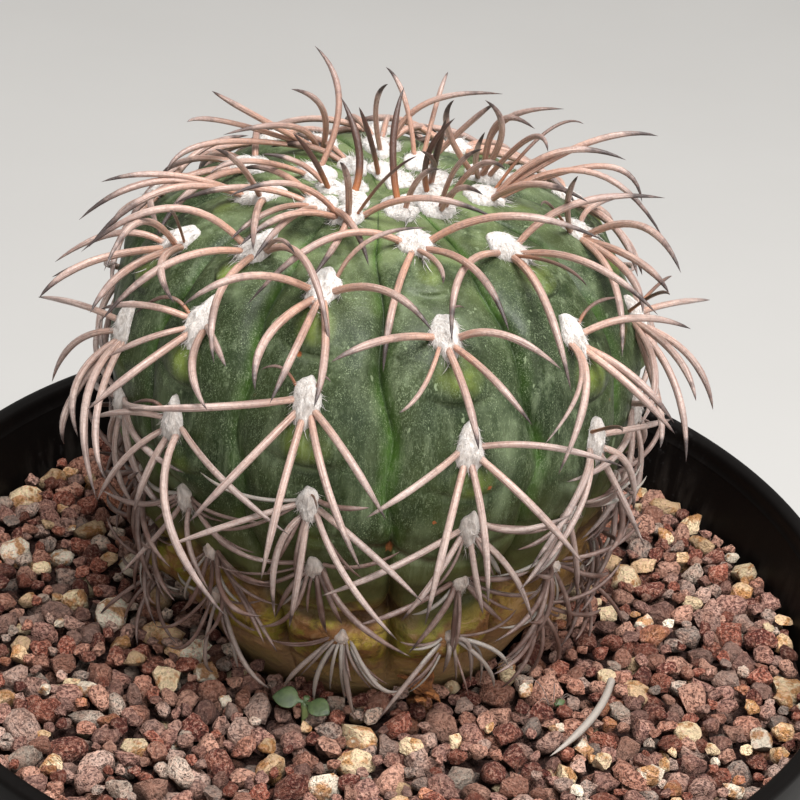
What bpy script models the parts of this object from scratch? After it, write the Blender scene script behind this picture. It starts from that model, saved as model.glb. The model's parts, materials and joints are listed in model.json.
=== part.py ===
"""A globular cactus in a round plastic pot, with its growing mix, its gravel dressing and two small extras.

Metres, +Z up. The origin is the centre of the pot's underside, and the front of the plant faces -Y.
"""

import math
import random

import bmesh
import bpy
from mathutils import Matrix, Vector
from mathutils.bvhtree import BVHTree

# Pot, a turned shell with a rolled lip and a foot ring
RIM_RADIUS = 0.100
POT_HEIGHT = 0.140
FOOT_RADIUS = 0.077
POT_WALL = 0.0018
LIP_WIDTH = 0.0036
LIP_DEPTH = 0.0120
LIP_DRAFT = 0.0004
BASE_RECESS = 0.0030
FOOT_RING_WIDTH = 0.0090
FOOT_CHAMFER = 0.0015
DRAIN_HOLES = 8
DRAIN_HOLE_RADIUS = 0.0050
DRAIN_CIRCLE_RADIUS = 0.052
POT_SIDES = 44

# What fills the pot: the gravel level is the mean surface of its stones
GAP = 0.0003
GRAVEL_LEVEL = POT_HEIGHT - 0.017
GRAVEL_DEPTH = 0.012
STONE_PITCH = 0.0092
STONE_LAY = math.radians(27.0)
STONE_SHIFT = 0.30
STONE_VALLEY = 0.0013
STONE_RELIEF = 0.0034
STONE_CHANCE = (0.55, 1.2)
STONE_BEVEL = 0.0015
STONE_TILT = 0.22
ROOT_CLEARANCE = 0.0005

# Stem: heights are above the gravel, and the axis leans a little back and to the left
STEM_FOOT = Vector((-0.0013, 0.0167))
STEM_LEAN = Vector((-0.041, 0.060))
STEM_RADIUS = 0.0548
WIDEST_HEIGHT = 0.0591
CROWN_RISE = 0.0351
CROWN_POWER = 2.645
FOOT_DROP = 0.0946
FOOT_POWER = 1.516
CROWN_DIMPLE = 0.0025
DIMPLE_REACH = 0.010

# Ribs: the angle is 0 at the front and grows to the right, seen from the front
RIBS = 11
FIRST_RIB = math.radians(-12.0)
GROOVE_DEPTH = 0.0062
GROOVE_FADE = 0.030
RIB_ROUNDING = 0.22
RIB_SHARES = (-0.5, -0.40, -0.22, 0.0, 0.22, 0.40)
STEM_ROWS = 18

# Neck and root below the gravel
ROOT_STEPS = ((0.004, 0.0330), (0.010, 0.0300), (0.024, 0.0220), (0.050, 0.0080))
ROOT_TIP = 0.004

# Areoles: bounds of their places along a rib, as distances over the skin from the crown's centre, and
# where each rib's own areoles lie between those bounds
AREOLE_BOUNDS = (0.0040, 0.0108, 0.0233, 0.0457, 0.0673, 0.0859, 0.0998, 0.1115)
RIB_STARTS = (0.69, 0.00, 0.31, 0.63, 0.94, 0.25, 0.56, 0.87, 0.18, 0.80, 0.38)
CHIN_RISE = 0.0020
CHIN_DROP = 0.0055
CHIN_REACH = 0.0050

# Spines of one areole, from the youngest areoles to the oldest: angles in degrees from straight down the rib
SPINE_SPREADS = (
    (0.0,),
    (-60.0, 60.0),
    (-84.0, -30.0, 32.0, 84.0),
    (-84.0, -32.0, 30.0, 84.0),
    (-84.0, -30.0, 32.0, 84.0),
    (-76.0, 0.0, 76.0),
    (-70.0, 0.0, 70.0),
)
SPINE_LENGTHS = (0.020, 0.028, 0.034, 0.036, 0.035, 0.031, 0.026)
SPINE_RISES = (72.0, 60.0, 42.0, 37.0, 35.0, 35.0, 32.0)
SPINE_CURL = 68.0
SPREAD_CHANCE = 7.0
RISE_CHANCE = 6.0
LENGTH_CHANCE = (0.88, 1.06)
TAPER_POWER = 0.7
SPINE_RADIUS = 0.00110
SPINE_STEPS = 3
SPINE_SINK = 0.0035
SPINE_SPACING = 0.0018
SPINE_CLEARANCE = 0.0058

# Loose extras
SEEDLING_PLACE = Vector((-0.0118, -0.0306))
SEEDLING_HEIGHT = 0.0066
SEEDLING_ROOT = 0.0080
SEEDLING_STALK = 0.0008
LEAF_LENGTH = 0.0064
LEAF_WIDTH = 0.0050
LEAF_THICKNESS = 0.0008
LEAF_RISE = math.radians(18.0)
LEAF_TURNS = (math.radians(173.0), math.radians(-31.0))
FALLEN_TIP = Vector((0.0387, -0.0380))
FALLEN_ROOT = Vector((0.0514, -0.0123))
FALLEN_BOW = 0.0022
FALLEN_RADIUS = 0.0009
FALLEN_STEPS = 6
FALLEN_TRIALS = 4

SEED = 11


def clear_scene():
    for old in list(bpy.data.objects):
        bpy.data.objects.remove(old, do_unlink=True)


def new_collection(name):
    collection = bpy.data.collections.new(name)
    bpy.context.scene.collection.children.link(collection)
    return collection


def new_material(name, colour, roughness, metallic=0.0):
    material = bpy.data.materials.new(name)
    material.use_nodes = True
    material.diffuse_color = (*colour, 1.0)
    shader = material.node_tree.nodes["Principled BSDF"]
    shader.inputs["Base Color"].default_value = (*colour, 1.0)
    shader.inputs["Roughness"].default_value = roughness
    shader.inputs["Metallic"].default_value = metallic
    return material


def add_object(name, mesh, collection, material=None):
    piece = bpy.data.objects.new(name, mesh)
    collection.objects.link(piece)
    if material:
        mesh.materials.append(material)
    return piece


def object_from_bmesh(name, shape, collection, material=None):
    bmesh.ops.recalc_face_normals(shape, faces=shape.faces[:])
    mesh = bpy.data.meshes.new(name)
    shape.to_mesh(mesh)
    shape.free()
    return add_object(name, mesh, collection, material)


def mesh_from_modifiers(piece):
    """Applies a piece's modifiers, then drops the spare points along its seams and makes triangles."""
    bpy.context.view_layer.update()
    graph = bpy.context.evaluated_depsgraph_get()
    finished = bpy.data.meshes.new_from_object(piece.evaluated_get(graph))
    shape = bmesh.new()
    shape.from_mesh(finished)
    spare = [point for point in shape.verts if len(point.link_edges) == 2]
    bmesh.ops.dissolve_verts(shape, verts=spare)
    bmesh.ops.triangulate(shape, faces=shape.faces[:], quad_method="BEAUTY", ngon_method="BEAUTY")
    shape.to_mesh(finished)
    shape.free()
    piece.modifiers.clear()
    piece.data = finished


def turned(name, outline, collection, material=None):
    """A solid of revolution about Z. The outline is (radius, height), down the outer side."""
    shape = bmesh.new()
    points = [shape.verts.new((radius, 0.0, height)) for radius, height in outline]
    for upper, lower in zip(points, points[1:]):
        shape.edges.new((upper, lower))
    mesh = bpy.data.meshes.new(name)
    shape.to_mesh(mesh)
    shape.free()
    piece = add_object(name, mesh, collection, material)
    screw = piece.modifiers.new("Turn", "SCREW")
    screw.steps = POT_SIDES
    screw.render_steps = POT_SIDES
    screw.use_merge_vertices = True
    screw.merge_threshold = 0.00001
    return piece


def cut(piece, cutter, operation="DIFFERENCE"):
    boolean = piece.modifiers.new(cutter.name, "BOOLEAN")
    boolean.operation = operation
    boolean.object = cutter
    return boolean


def as_cutter(piece):
    piece.hide_render = True
    piece.display_type = "WIRE"
    return piece


def pot_inner_radius(height):
    """Inner radius of the pot's tapered wall at a height."""
    share = height / POT_HEIGHT
    return FOOT_RADIUS + (RIM_RADIUS - LIP_WIDTH + POT_WALL - FOOT_RADIUS) * share - POT_WALL


def make_pot(parts, cutters, material):
    wall_top = POT_HEIGHT - LIP_DEPTH
    floor = BASE_RECESS + POT_WALL
    lip_round = LIP_WIDTH / 4
    inner_top = pot_inner_radius(POT_HEIGHT)
    outline = [
        (RIM_RADIUS - LIP_WIDTH / 2, POT_HEIGHT),
        (RIM_RADIUS - lip_round, POT_HEIGHT - lip_round / 3),
        (RIM_RADIUS, POT_HEIGHT - lip_round * 1.5),
        (RIM_RADIUS - LIP_DRAFT, wall_top),
        (pot_inner_radius(wall_top) + POT_WALL, wall_top),
        (FOOT_RADIUS, FOOT_CHAMFER),
        (FOOT_RADIUS - FOOT_CHAMFER, 0.0),
        (FOOT_RADIUS - FOOT_RING_WIDTH, 0.0),
        (FOOT_RADIUS - FOOT_RING_WIDTH - FOOT_CHAMFER, BASE_RECESS),
        (0.0, BASE_RECESS),
        (0.0, floor),
        (pot_inner_radius(floor), floor),
        (inner_top, POT_HEIGHT - lip_round),
        (inner_top + lip_round, POT_HEIGHT - lip_round / 4),
        (RIM_RADIUS - LIP_WIDTH / 2, POT_HEIGHT),
    ]
    pot = turned("pot", outline, parts, material)
    for number in range(DRAIN_HOLES):
        turn = Matrix.Rotation(2 * math.pi * number / DRAIN_HOLES, 4, "Z")
        place = turn @ Vector((DRAIN_CIRCLE_RADIUS, 0.0, BASE_RECESS + POT_WALL / 2))
        shape = bmesh.new()
        bmesh.ops.create_cone(
            shape,
            cap_ends=True,
            segments=12,
            radius1=DRAIN_HOLE_RADIUS,
            radius2=DRAIN_HOLE_RADIUS,
            depth=4 * POT_WALL,
            matrix=Matrix.Translation(place),
        )
        hole = object_from_bmesh(f"drain_hole_{number}", shape, cutters)
        cut(pot, as_cutter(hole))
    return pot


def superellipse(share, power):
    return max(1.0 - share**power, 0.0) ** (1.0 / power)


def stem_outline():
    """Rows of (distance over the skin from the crown's centre, height, radius), down to the gravel."""
    rows = []
    fine = 200
    for step in range(fine + 1):
        rise = math.sin(math.pi / 2 * (1 - step / fine)) ** (2 / CROWN_POWER)
        rows.append((WIDEST_HEIGHT + CROWN_RISE * rise, STEM_RADIUS * superellipse(rise, CROWN_POWER)))
    for step in range(1, fine + 1):
        height = WIDEST_HEIGHT * (1 - step / fine)
        drop = (WIDEST_HEIGHT - height) / FOOT_DROP
        rows.append((height, STEM_RADIUS * superellipse(drop, FOOT_POWER)))
    outline = [(0.0, *rows[0])]
    for before, after in zip(rows, rows[1:]):
        outline.append((outline[-1][0] + math.dist(before, after), *after))
    return outline


STEM_OUTLINE = stem_outline()
SKIN_LENGTH = STEM_OUTLINE[-1][0]


def outline_at(distance):
    """(height, radius) of a rib's crest at a distance over the skin from the crown's centre."""
    for before, after in zip(STEM_OUTLINE, STEM_OUTLINE[1:]):
        if after[0] >= distance:
            break
    share = (distance - before[0]) / (after[0] - before[0])
    height = before[1] + (after[1] - before[1]) * share
    radius = before[2] + (after[2] - before[2]) * share
    return height - CROWN_DIMPLE * math.exp(-((distance / DIMPLE_REACH) ** 2)), radius


def areole_distances(rib):
    """Distances of one rib's areoles from the crown's centre."""
    bounds = zip(AREOLE_BOUNDS, AREOLE_BOUNDS[1:])
    return [inner + (outer - inner) * RIB_STARTS[rib] for inner, outer in bounds]


def on_axis(height):
    place = STEM_FOOT + STEM_LEAN * height
    return Vector((place.x, place.y, GRAVEL_LEVEL + height))


def stem_point(rib, share, distance):
    """A point of the skin: share runs from one groove, -0.5, over the crest, 0, to the next groove."""
    height, radius = outline_at(distance)
    angle = FIRST_RIB + (rib + share) * 2 * math.pi / RIBS
    fade = min(distance / GROOVE_FADE, 1.0) * min(height / GROOVE_FADE, 1.0)
    across = abs(2 * share)
    sink = GROOVE_DEPTH * fade * (RIB_ROUNDING * across**2 + (1 - RIB_ROUNDING) * across**6)
    rise = 0.0
    for areole in areole_distances(rib):
        beyond = distance - areole
        rise += CHIN_RISE * math.exp(-(((beyond - CHIN_DROP) / CHIN_REACH) ** 2))
        rise -= 0.5 * CHIN_RISE * math.exp(-(((beyond + CHIN_DROP) / CHIN_REACH) ** 2))
    radius += fade * rise * (1 - across**2) - sink
    radius = max(radius, 0.0)
    out = Vector((math.sin(angle), -math.cos(angle), 0.0))
    return on_axis(height) + out * radius


def make_stem(parts, material):
    """The ribbed stem with its neck and root, as rows of points between two poles."""
    shape = bmesh.new()
    columns = [(rib, share) for rib in range(RIBS) for share in RIB_SHARES]
    rows = []
    for row in range(1, STEM_ROWS + 1):
        distance = SKIN_LENGTH * row / STEM_ROWS
        rows.append([shape.verts.new(stem_point(rib, share, distance)) for rib, share in columns])
    for depth, radius in ROOT_STEPS:
        centre = on_axis(0.0) - Vector((0.0, 0.0, depth))
        ring = []
        for rib, share in columns:
            angle = FIRST_RIB + (rib + share) * 2 * math.pi / RIBS
            out = Vector((math.sin(angle), -math.cos(angle), 0.0))
            ring.append(shape.verts.new(centre + out * radius))
        rows.append(ring)
    top = shape.verts.new(on_axis(outline_at(0.0)[0]))
    tip = shape.verts.new(on_axis(0.0) - Vector((0.0, 0.0, ROOT_STEPS[-1][0] + ROOT_TIP)))
    count = len(columns)
    for number in range(count):
        after = (number + 1) % count
        shape.faces.new((top, rows[0][number], rows[0][after]))
        shape.faces.new((tip, rows[-1][after], rows[-1][number]))
        for upper, lower in zip(rows, rows[1:]):
            shape.faces.new((upper[number], lower[number], lower[after], upper[after]))
    return object_from_bmesh("cactus", shape, parts, material)


def areole_frame(rib, distance):
    """(place, outward, down the rib, sideways) at an areole."""
    step = CHIN_REACH / 2
    place = stem_point(rib, 0.0, distance)
    down = (stem_point(rib, 0.0, distance + step) - stem_point(rib, 0.0, distance - step)).normalized()
    angle = FIRST_RIB + rib * 2 * math.pi / RIBS
    side = Vector((math.cos(angle), math.sin(angle), 0.0))
    outward = side.cross(down).normalized()
    if outward.dot(place - on_axis(WIDEST_HEIGHT)) < 0:
        outward.negate()
    return place, outward, down, outward.cross(down).normalized()


def add_thorn(shape, path, radius, across):
    """A three-sided spine that tapers along a path to a point. It stays in the plane square to across."""
    rings = []
    for number, place in enumerate(path[:-1]):
        following = path[number + 1]
        along = (following - place).normalized()
        up = across.cross(along).normalized()
        thick = radius * (1 - number / (len(path) - 1)) ** TAPER_POWER
        ring = []
        for corner in range(3):
            angle = 2 * math.pi * corner / 3
            ring.append(shape.verts.new(place + (across * math.sin(angle) + up * math.cos(angle)) * thick))
        rings.append(ring)
    point = shape.verts.new(path[-1])
    shape.faces.new(rings[0])
    for corner in range(3):
        after = (corner + 1) % 3
        for near, far in zip(rings, rings[1:]):
            shape.faces.new((near[corner], near[after], far[after], far[corner]))
        shape.faces.new((rings[-1][corner], rings[-1][after], point))


def spine_path(place, outward, heading, length, rise):
    """Points of a spine that leaves the skin at a rise from its heading and curls back towards the plant."""
    spot = place + heading * SPINE_SPACING
    path = [spot - outward * SPINE_SINK]
    for step in range(SPINE_STEPS):
        tilt = math.radians(rise - SPINE_CURL * (step + 0.5) / SPINE_STEPS)
        spot = spot + (outward * math.sin(tilt) + heading * math.cos(tilt)) * (length / SPINE_STEPS)
        path.append(spot)
    return path


def bend_clear(path):
    """Bends a spine up, more towards its tip, where it would dip into the gravel or the seedling."""
    last = len(path) - 1
    lift = 0.0
    for number, point in enumerate(path[1:], 1):
        lowest = GRAVEL_LEVEL + SPINE_CLEARANCE
        if (point.xy - SEEDLING_PLACE).length < 2 * LEAF_LENGTH:
            lowest += SEEDLING_HEIGHT - LEAF_LENGTH / 2
        lift = max(lift, (lowest - point.z) * last / number)
    for number, point in enumerate(path):
        point.z += lift * number / last
    return path


def make_spines(collection):
    """The spines of every areole, each its own object until they are joined to the stem."""
    chance = random.Random(SEED)
    for rib in range(RIBS):
        for number, distance in enumerate(areole_distances(rib)):
            place, outward, down, side = areole_frame(rib, distance)
            for spread in SPINE_SPREADS[number]:
                turn = math.radians(spread + chance.uniform(-SPREAD_CHANCE, SPREAD_CHANCE))
                heading = (down * math.cos(turn) + side * math.sin(turn)).normalized()
                length = SPINE_LENGTHS[number] * chance.uniform(*LENGTH_CHANCE)
                rise = SPINE_RISES[number] + chance.uniform(-RISE_CHANCE, RISE_CHANCE)
                path = bend_clear(spine_path(place, outward, heading, length, rise))
                shape = bmesh.new()
                add_thorn(shape, path, SPINE_RADIUS, outward.cross(heading).normalized())
                object_from_bmesh(f"spine_{rib}_{number}_{round(spread)}", shape, collection)


def join_collection(piece, collection):
    """Unites a piece with all of a collection, then removes the collection."""
    union = piece.modifiers.new("Join", "BOOLEAN")
    union.operation = "UNION"
    union.operand_type = "COLLECTION"
    union.collection = collection
    mesh_from_modifiers(piece)
    for joined in list(collection.objects):
        bpy.data.objects.remove(joined, do_unlink=True)
    bpy.data.collections.remove(collection)


def make_cactus(parts, material):
    cactus = make_stem(parts, material)
    grown = new_collection("spines")
    make_spines(grown)
    join_collection(cactus, grown)
    return cactus


def make_root_hole(cutters):
    """The plain hole that the stem's foot and root stand in, a little wider than they are."""
    outline = []
    for height in (GRAVEL_DEPTH, GRAVEL_DEPTH / 2, 0.0):
        drop = (WIDEST_HEIGHT - height) / FOOT_DROP
        outline.append((STEM_RADIUS * superellipse(drop, FOOT_POWER) + ROOT_CLEARANCE, height))
    outline += [(radius + ROOT_CLEARANCE, -depth) for depth, radius in ROOT_STEPS]
    bottom = outline[-1][1] - ROOT_TIP - ROOT_CLEARANCE
    outline = [(0.0, outline[0][1])] + outline + [(0.0, bottom)]
    hole = turned("root_hole", [(radius, GRAVEL_LEVEL + height) for radius, height in outline], cutters)
    hole.location = (STEM_FOOT.x, STEM_FOOT.y, 0.0)
    return as_cutter(hole)


def make_seedling_hole(cutters):
    """The seedling's own hole through the gravel."""
    shape = bmesh.new()
    radius = SEEDLING_STALK + GAP
    bmesh.ops.create_cone(
        shape,
        cap_ends=True,
        segments=8,
        radius1=radius,
        radius2=radius,
        depth=2 * SEEDLING_ROOT + 2 * GAP,
        matrix=Matrix.Translation((*SEEDLING_PLACE, GRAVEL_LEVEL)),
    )
    return as_cutter(object_from_bmesh("seedling_hole", shape, cutters))


def make_growing_mix(parts, root_hole, material):
    top = GRAVEL_LEVEL - GRAVEL_DEPTH - GAP
    bottom = BASE_RECESS + POT_WALL + GAP
    outline = [
        (0.0, top),
        (pot_inner_radius(top) - GAP, top),
        (pot_inner_radius(bottom) - GAP, bottom),
        (0.0, bottom),
    ]
    mix = turned("growing_mix", outline, parts, material)
    cut(mix, root_hole)
    return mix


def make_gravel(parts, cutters, holes, material):
    """A bed of stones. Each cell of a jittered grid is drawn in and raised to make one stone."""
    chance = random.Random(SEED + 1)
    cells = math.ceil(2 * RIM_RADIUS / STONE_PITCH) + 1
    shape = bmesh.new()
    bmesh.ops.create_grid(
        shape,
        x_segments=cells,
        y_segments=cells,
        size=cells * STONE_PITCH / 2,
        matrix=Matrix.Rotation(STONE_LAY, 4, "Z"),
    )
    for corner in shape.verts:
        corner.co.x += chance.uniform(-STONE_SHIFT, STONE_SHIFT) * STONE_PITCH
        corner.co.y += chance.uniform(-STONE_SHIFT, STONE_SHIFT) * STONE_PITCH
        corner.co.z = GRAVEL_LEVEL - STONE_VALLEY
    stones = shape.faces[:]
    bmesh.ops.inset_individual(shape, faces=stones, thickness=STONE_BEVEL)
    for stone in stones:
        rise = STONE_RELIEF * chance.uniform(*STONE_CHANCE)
        lean = [chance.uniform(-STONE_TILT, STONE_TILT) for side in range(2)]
        tilt = Vector((*lean, 0.0))
        centre = stone.calc_center_median()
        for corner in stone.verts:
            corner.co.z += rise + tilt.dot(corner.co - centre)
    edge = [side for side in shape.edges if side.is_boundary]
    skirt = bmesh.ops.extrude_edge_only(shape, edges=edge)["geom"]
    for corner in skirt:
        if isinstance(corner, bmesh.types.BMVert):
            corner.co.z = GRAVEL_LEVEL - GRAVEL_DEPTH
    bmesh.ops.holes_fill(shape, edges=[side for side in shape.edges if side.is_boundary])
    gravel = object_from_bmesh("gravel_dressing", shape, parts, material)
    top = POT_HEIGHT - LIP_DEPTH
    bottom = GRAVEL_LEVEL - 2 * GRAVEL_DEPTH
    outline = [
        (0.0, top),
        (pot_inner_radius(top) - GAP, top),
        (pot_inner_radius(bottom) - GAP, bottom),
        (0.0, bottom),
    ]
    cut(gravel, as_cutter(turned("pot_bore", outline, cutters)), "INTERSECT")
    for hole in holes:
        cut(gravel, hole)
    mesh_from_modifiers(gravel)
    return gravel


def make_seedling(parts, material):
    """A stalk with two round seed leaves, joined in one."""
    shape = bmesh.new()
    height = SEEDLING_HEIGHT + SEEDLING_ROOT
    bmesh.ops.create_cone(
        shape,
        cap_ends=True,
        segments=6,
        radius1=SEEDLING_STALK * 0.8,
        radius2=SEEDLING_STALK,
        depth=height,
        matrix=Matrix.Translation((*SEEDLING_PLACE, GRAVEL_LEVEL - SEEDLING_ROOT + height / 2)),
    )
    seedling = object_from_bmesh("weed_seedling", shape, parts, material)
    leaves = new_collection("seed_leaves")
    top = Vector((*SEEDLING_PLACE, GRAVEL_LEVEL + SEEDLING_HEIGHT - LEAF_THICKNESS))
    for turn in LEAF_TURNS:
        lie = Matrix.Rotation(turn, 4, "Z") @ Matrix.Rotation(-LEAF_RISE, 4, "Y")
        size = Matrix.Diagonal((LEAF_LENGTH / 2, LEAF_WIDTH / 2, LEAF_THICKNESS, 1.0))
        reach = Matrix.Translation((LEAF_LENGTH * 0.46, 0.0, 0.0))
        shape = bmesh.new()
        bmesh.ops.create_cone(
            shape,
            cap_ends=True,
            segments=10,
            radius1=0.86,
            radius2=1.0,
            depth=1.0,
            matrix=Matrix.Translation(top) @ lie @ reach @ size,
        )
        object_from_bmesh("seed_leaf", shape, leaves)
    join_collection(seedling, leaves)
    return seedling


def stone_heights(gravel, places):
    """Height of the gravel's surface at each place."""
    bpy.context.view_layer.update()
    tree = BVHTree.FromObject(gravel, bpy.context.evaluated_depsgraph_get())
    down = Vector((0.0, 0.0, -1.0))
    return [tree.ray_cast(Vector((place.x, place.y, POT_HEIGHT)), down)[0].z for place in places]


def resting_line(heights):
    """(start, slope) of the line over all the heights that rests on one each side of their middle."""
    middle = (len(heights) - 1) / 2
    for left in range(len(heights)):
        for right in range(len(heights) - 1, left, -1):
            slope = (heights[right] - heights[left]) / (right - left)
            start = heights[left] - slope * left
            clear = all(start + slope * number >= height - 1e-9 for number, height in enumerate(heights))
            if clear and left <= middle <= right:
                return start, slope
    return max(heights), 0.0


def make_fallen_spine(parts, gravel, material):
    """A shed spine, lying on its side on the stones that carry it."""
    along = FALLEN_TIP - FALLEN_ROOT
    bow = Vector((-along.y, along.x)).normalized() * FALLEN_BOW
    fine = FALLEN_TRIALS * FALLEN_STEPS
    line = []
    for number in range(fine + 1):
        share = number / fine
        line.append(FALLEN_ROOT + along * share + bow * (1 - (2 * share - 1) ** 2))
    aside = Vector((along.y, -along.x)).normalized() * FALLEN_RADIUS
    sides = [stone_heights(gravel, [place + shift for place in line]) for shift in (-aside, aside * 0, aside)]
    start, slope = resting_line([max(heights) for heights in zip(*sides)])
    path = []
    for number in range(0, fine + 1, FALLEN_TRIALS):
        height = start + slope * number + FALLEN_RADIUS + GAP
        path.append(Vector((line[number].x, line[number].y, height)))
    shape = bmesh.new()
    add_thorn(shape, path, FALLEN_RADIUS, Vector((along.y, -along.x, 0.0)).normalized())
    return object_from_bmesh("fallen_spine", shape, parts, material)


clear_scene()
PARTS = new_collection("potted_gymnocalycium_cactus")
CUTTERS = new_collection("cutters")
ROOT_HOLE = make_root_hole(CUTTERS)
SEEDLING_HOLE = make_seedling_hole(CUTTERS)
make_pot(PARTS, CUTTERS, new_material("black_plastic", (0.012, 0.012, 0.014), 0.42))
make_growing_mix(PARTS, ROOT_HOLE, new_material("dark_mix", (0.030, 0.019, 0.012), 0.95))
GRAVEL = make_gravel(
    PARTS,
    CUTTERS,
    (ROOT_HOLE, SEEDLING_HOLE),
    new_material("lava_gravel", (0.230, 0.135, 0.115), 0.92),
)
make_cactus(PARTS, new_material("cactus_skin", (0.070, 0.115, 0.050), 0.50))
make_seedling(PARTS, new_material("seedling_green", (0.090, 0.190, 0.075), 0.55))
make_fallen_spine(PARTS, GRAVEL, new_material("dry_spine", (0.420, 0.340, 0.300), 0.60))
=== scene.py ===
"""The looks of a potted globular cactus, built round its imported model.

Metres, +Z up. The origin is the centre of the pot's underside, and the front of the plant faces -Y.
"""

import json
import math
import random

import bmesh
import bpy
import numpy as np
from mathutils import Matrix, Vector, noise
from mathutils.bvhtree import BVHTree

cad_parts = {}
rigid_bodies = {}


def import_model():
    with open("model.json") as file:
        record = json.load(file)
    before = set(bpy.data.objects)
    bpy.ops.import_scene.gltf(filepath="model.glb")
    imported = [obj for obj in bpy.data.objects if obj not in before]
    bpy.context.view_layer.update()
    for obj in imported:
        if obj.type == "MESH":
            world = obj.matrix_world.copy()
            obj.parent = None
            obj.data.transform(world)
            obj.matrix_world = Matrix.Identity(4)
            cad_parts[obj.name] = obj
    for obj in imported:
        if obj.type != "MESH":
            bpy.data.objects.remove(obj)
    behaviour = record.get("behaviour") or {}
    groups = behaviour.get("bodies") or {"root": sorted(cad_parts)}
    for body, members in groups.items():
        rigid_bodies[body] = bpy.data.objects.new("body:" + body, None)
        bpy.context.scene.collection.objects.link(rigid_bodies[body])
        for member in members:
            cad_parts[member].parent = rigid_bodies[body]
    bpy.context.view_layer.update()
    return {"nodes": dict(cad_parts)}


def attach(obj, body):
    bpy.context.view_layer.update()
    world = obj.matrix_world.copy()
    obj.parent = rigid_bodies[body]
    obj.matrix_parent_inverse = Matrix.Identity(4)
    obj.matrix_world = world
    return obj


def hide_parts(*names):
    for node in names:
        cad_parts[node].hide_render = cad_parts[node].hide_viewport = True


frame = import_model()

# Pot: one moulded shell of thin black polypropylene with a stiff turned lip, a foot ring and eight drain
# holes. The moulding is matt, and years of handling and watering have left fine scuffs and a lime film.

RIM_RADIUS = 0.100
POT_HEIGHT = 0.140
FOOT_RADIUS = 0.077
POT_WALL = 0.0018
LIP_WIDTH = 0.0036
LIP_DEPTH = 0.0120
LIP_DRAFT = 0.0004
LIP_ROUND = 0.0015
BASE_RECESS = 0.0030
FOOT_RING_WIDTH = 0.0090
FOOT_CHAMFER = 0.0015
DRAIN_HOLES = 8
DRAIN_HOLE_RADIUS = 0.0050
DRAIN_CIRCLE_RADIUS = 0.052
POT_SIDES = 180
HOLE_SIDES = 28
POT_WOBBLE = 0.0006
POT_SHARP_ANGLE = 38.0
POT_BLACK = (0.0028, 0.0022, 0.0020)
POT_SCUFF = (0.032, 0.030, 0.030)
LIME_FILM = (0.050, 0.042, 0.036)


def node(tree, kind, feeds=None, **settings):
    """Adds a node with its settings, and feeds its sockets with values or with other nodes' sockets."""
    made = tree.nodes.new(kind)
    for name, value in settings.items():
        setattr(made, name, value)
    for socket, value in (feeds or {}).items():
        if isinstance(value, bpy.types.NodeSocket):
            tree.links.new(value, made.inputs[socket])
        else:
            made.inputs[socket].default_value = value
    return made


def maths(tree, operation, first, second=0.0, third=0.0):
    """The result socket of one sum."""
    feeds = {0: first, 1: second, 2: third}
    return node(tree, "ShaderNodeMath", feeds, operation=operation).outputs[0]


def times(tree, first, second):
    return maths(tree, "MULTIPLY", first, second)


def plus(tree, first, second):
    return maths(tree, "ADD", first, second)


def minus(tree, first, second):
    return maths(tree, "SUBTRACT", first, second)


def larger(tree, first, second):
    return maths(tree, "MAXIMUM", first, second)


def spread(tree, value, low, high, bottom=0.0, top=1.0):
    """The value, moved from low..high to bottom..top and held there."""
    feeds = {0: value, 1: low, 2: high, 3: bottom, 4: top}
    return node(tree, "ShaderNodeMapRange", feeds, clamp=True).outputs[0]


def blended(tree, share, under, over, how="MIX"):
    """One colour laid over another by a share."""
    under = (*under, 1.0) if isinstance(under, tuple) and len(under) == 3 else under
    over = (*over, 1.0) if isinstance(over, tuple) and len(over) == 3 else over
    feeds = {0: share, 6: under, 7: over}
    return node(tree, "ShaderNodeMix", feeds, data_type="RGBA", blend_type=how).outputs[2]


def object_place(tree, squeeze=1.0):
    """Object coordinates. A squeeze below 1 draws the pattern out up and down."""
    place = node(tree, "ShaderNodeTexCoord").outputs["Object"]
    feeds = {0: place, 1: (1.0, 1.0, squeeze)}
    return node(tree, "ShaderNodeVectorMath", feeds, operation="MULTIPLY").outputs[0]


def stored(tree, name):
    """The value that a mesh stores for each point, in a material."""
    return node(tree, "ShaderNodeAttribute", attribute_name=name).outputs["Fac"]


def mottle(tree, place, scale, detail=3.0, roughness=0.55, distortion=0.0):
    """A cloudy pattern, 0 to 1."""
    feeds = {
        "Vector": place,
        "Scale": scale,
        "Detail": detail,
        "Roughness": roughness,
        "Distortion": distortion,
    }
    return node(tree, "ShaderNodeTexNoise", feeds).outputs["Fac"]


def ramp(tree, share, stops, interpolation="LINEAR"):
    """A row of colours along a share from 0 to 1."""
    row = node(tree, "ShaderNodeValToRGB", {0: share})
    row.color_ramp.interpolation = interpolation
    points = row.color_ramp.elements
    points[0].position, points[0].color = stops[0][0], (*stops[0][1], 1.0)
    points[1].position, points[1].color = stops[-1][0], (*stops[-1][1], 1.0)
    for position, colour in stops[1:-1]:
        points.new(position).color = (*colour, 1.0)
    return row.outputs["Color"]


def finish(name):
    """A new material, its tree and its shader."""
    material = bpy.data.materials.new(name)
    material.use_nodes = True
    tree = material.node_tree
    return material, tree, tree.nodes["Principled BSDF"]


def raise_bumps(tree, shader, height, depth, strength=1.0):
    """Feeds the shader a relief of a depth in metres."""
    feeds = {"Strength": strength, "Distance": depth, "Height": height}
    tree.links.new(node(tree, "ShaderNodeBump", feeds).outputs["Normal"], shader.inputs["Normal"])


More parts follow.
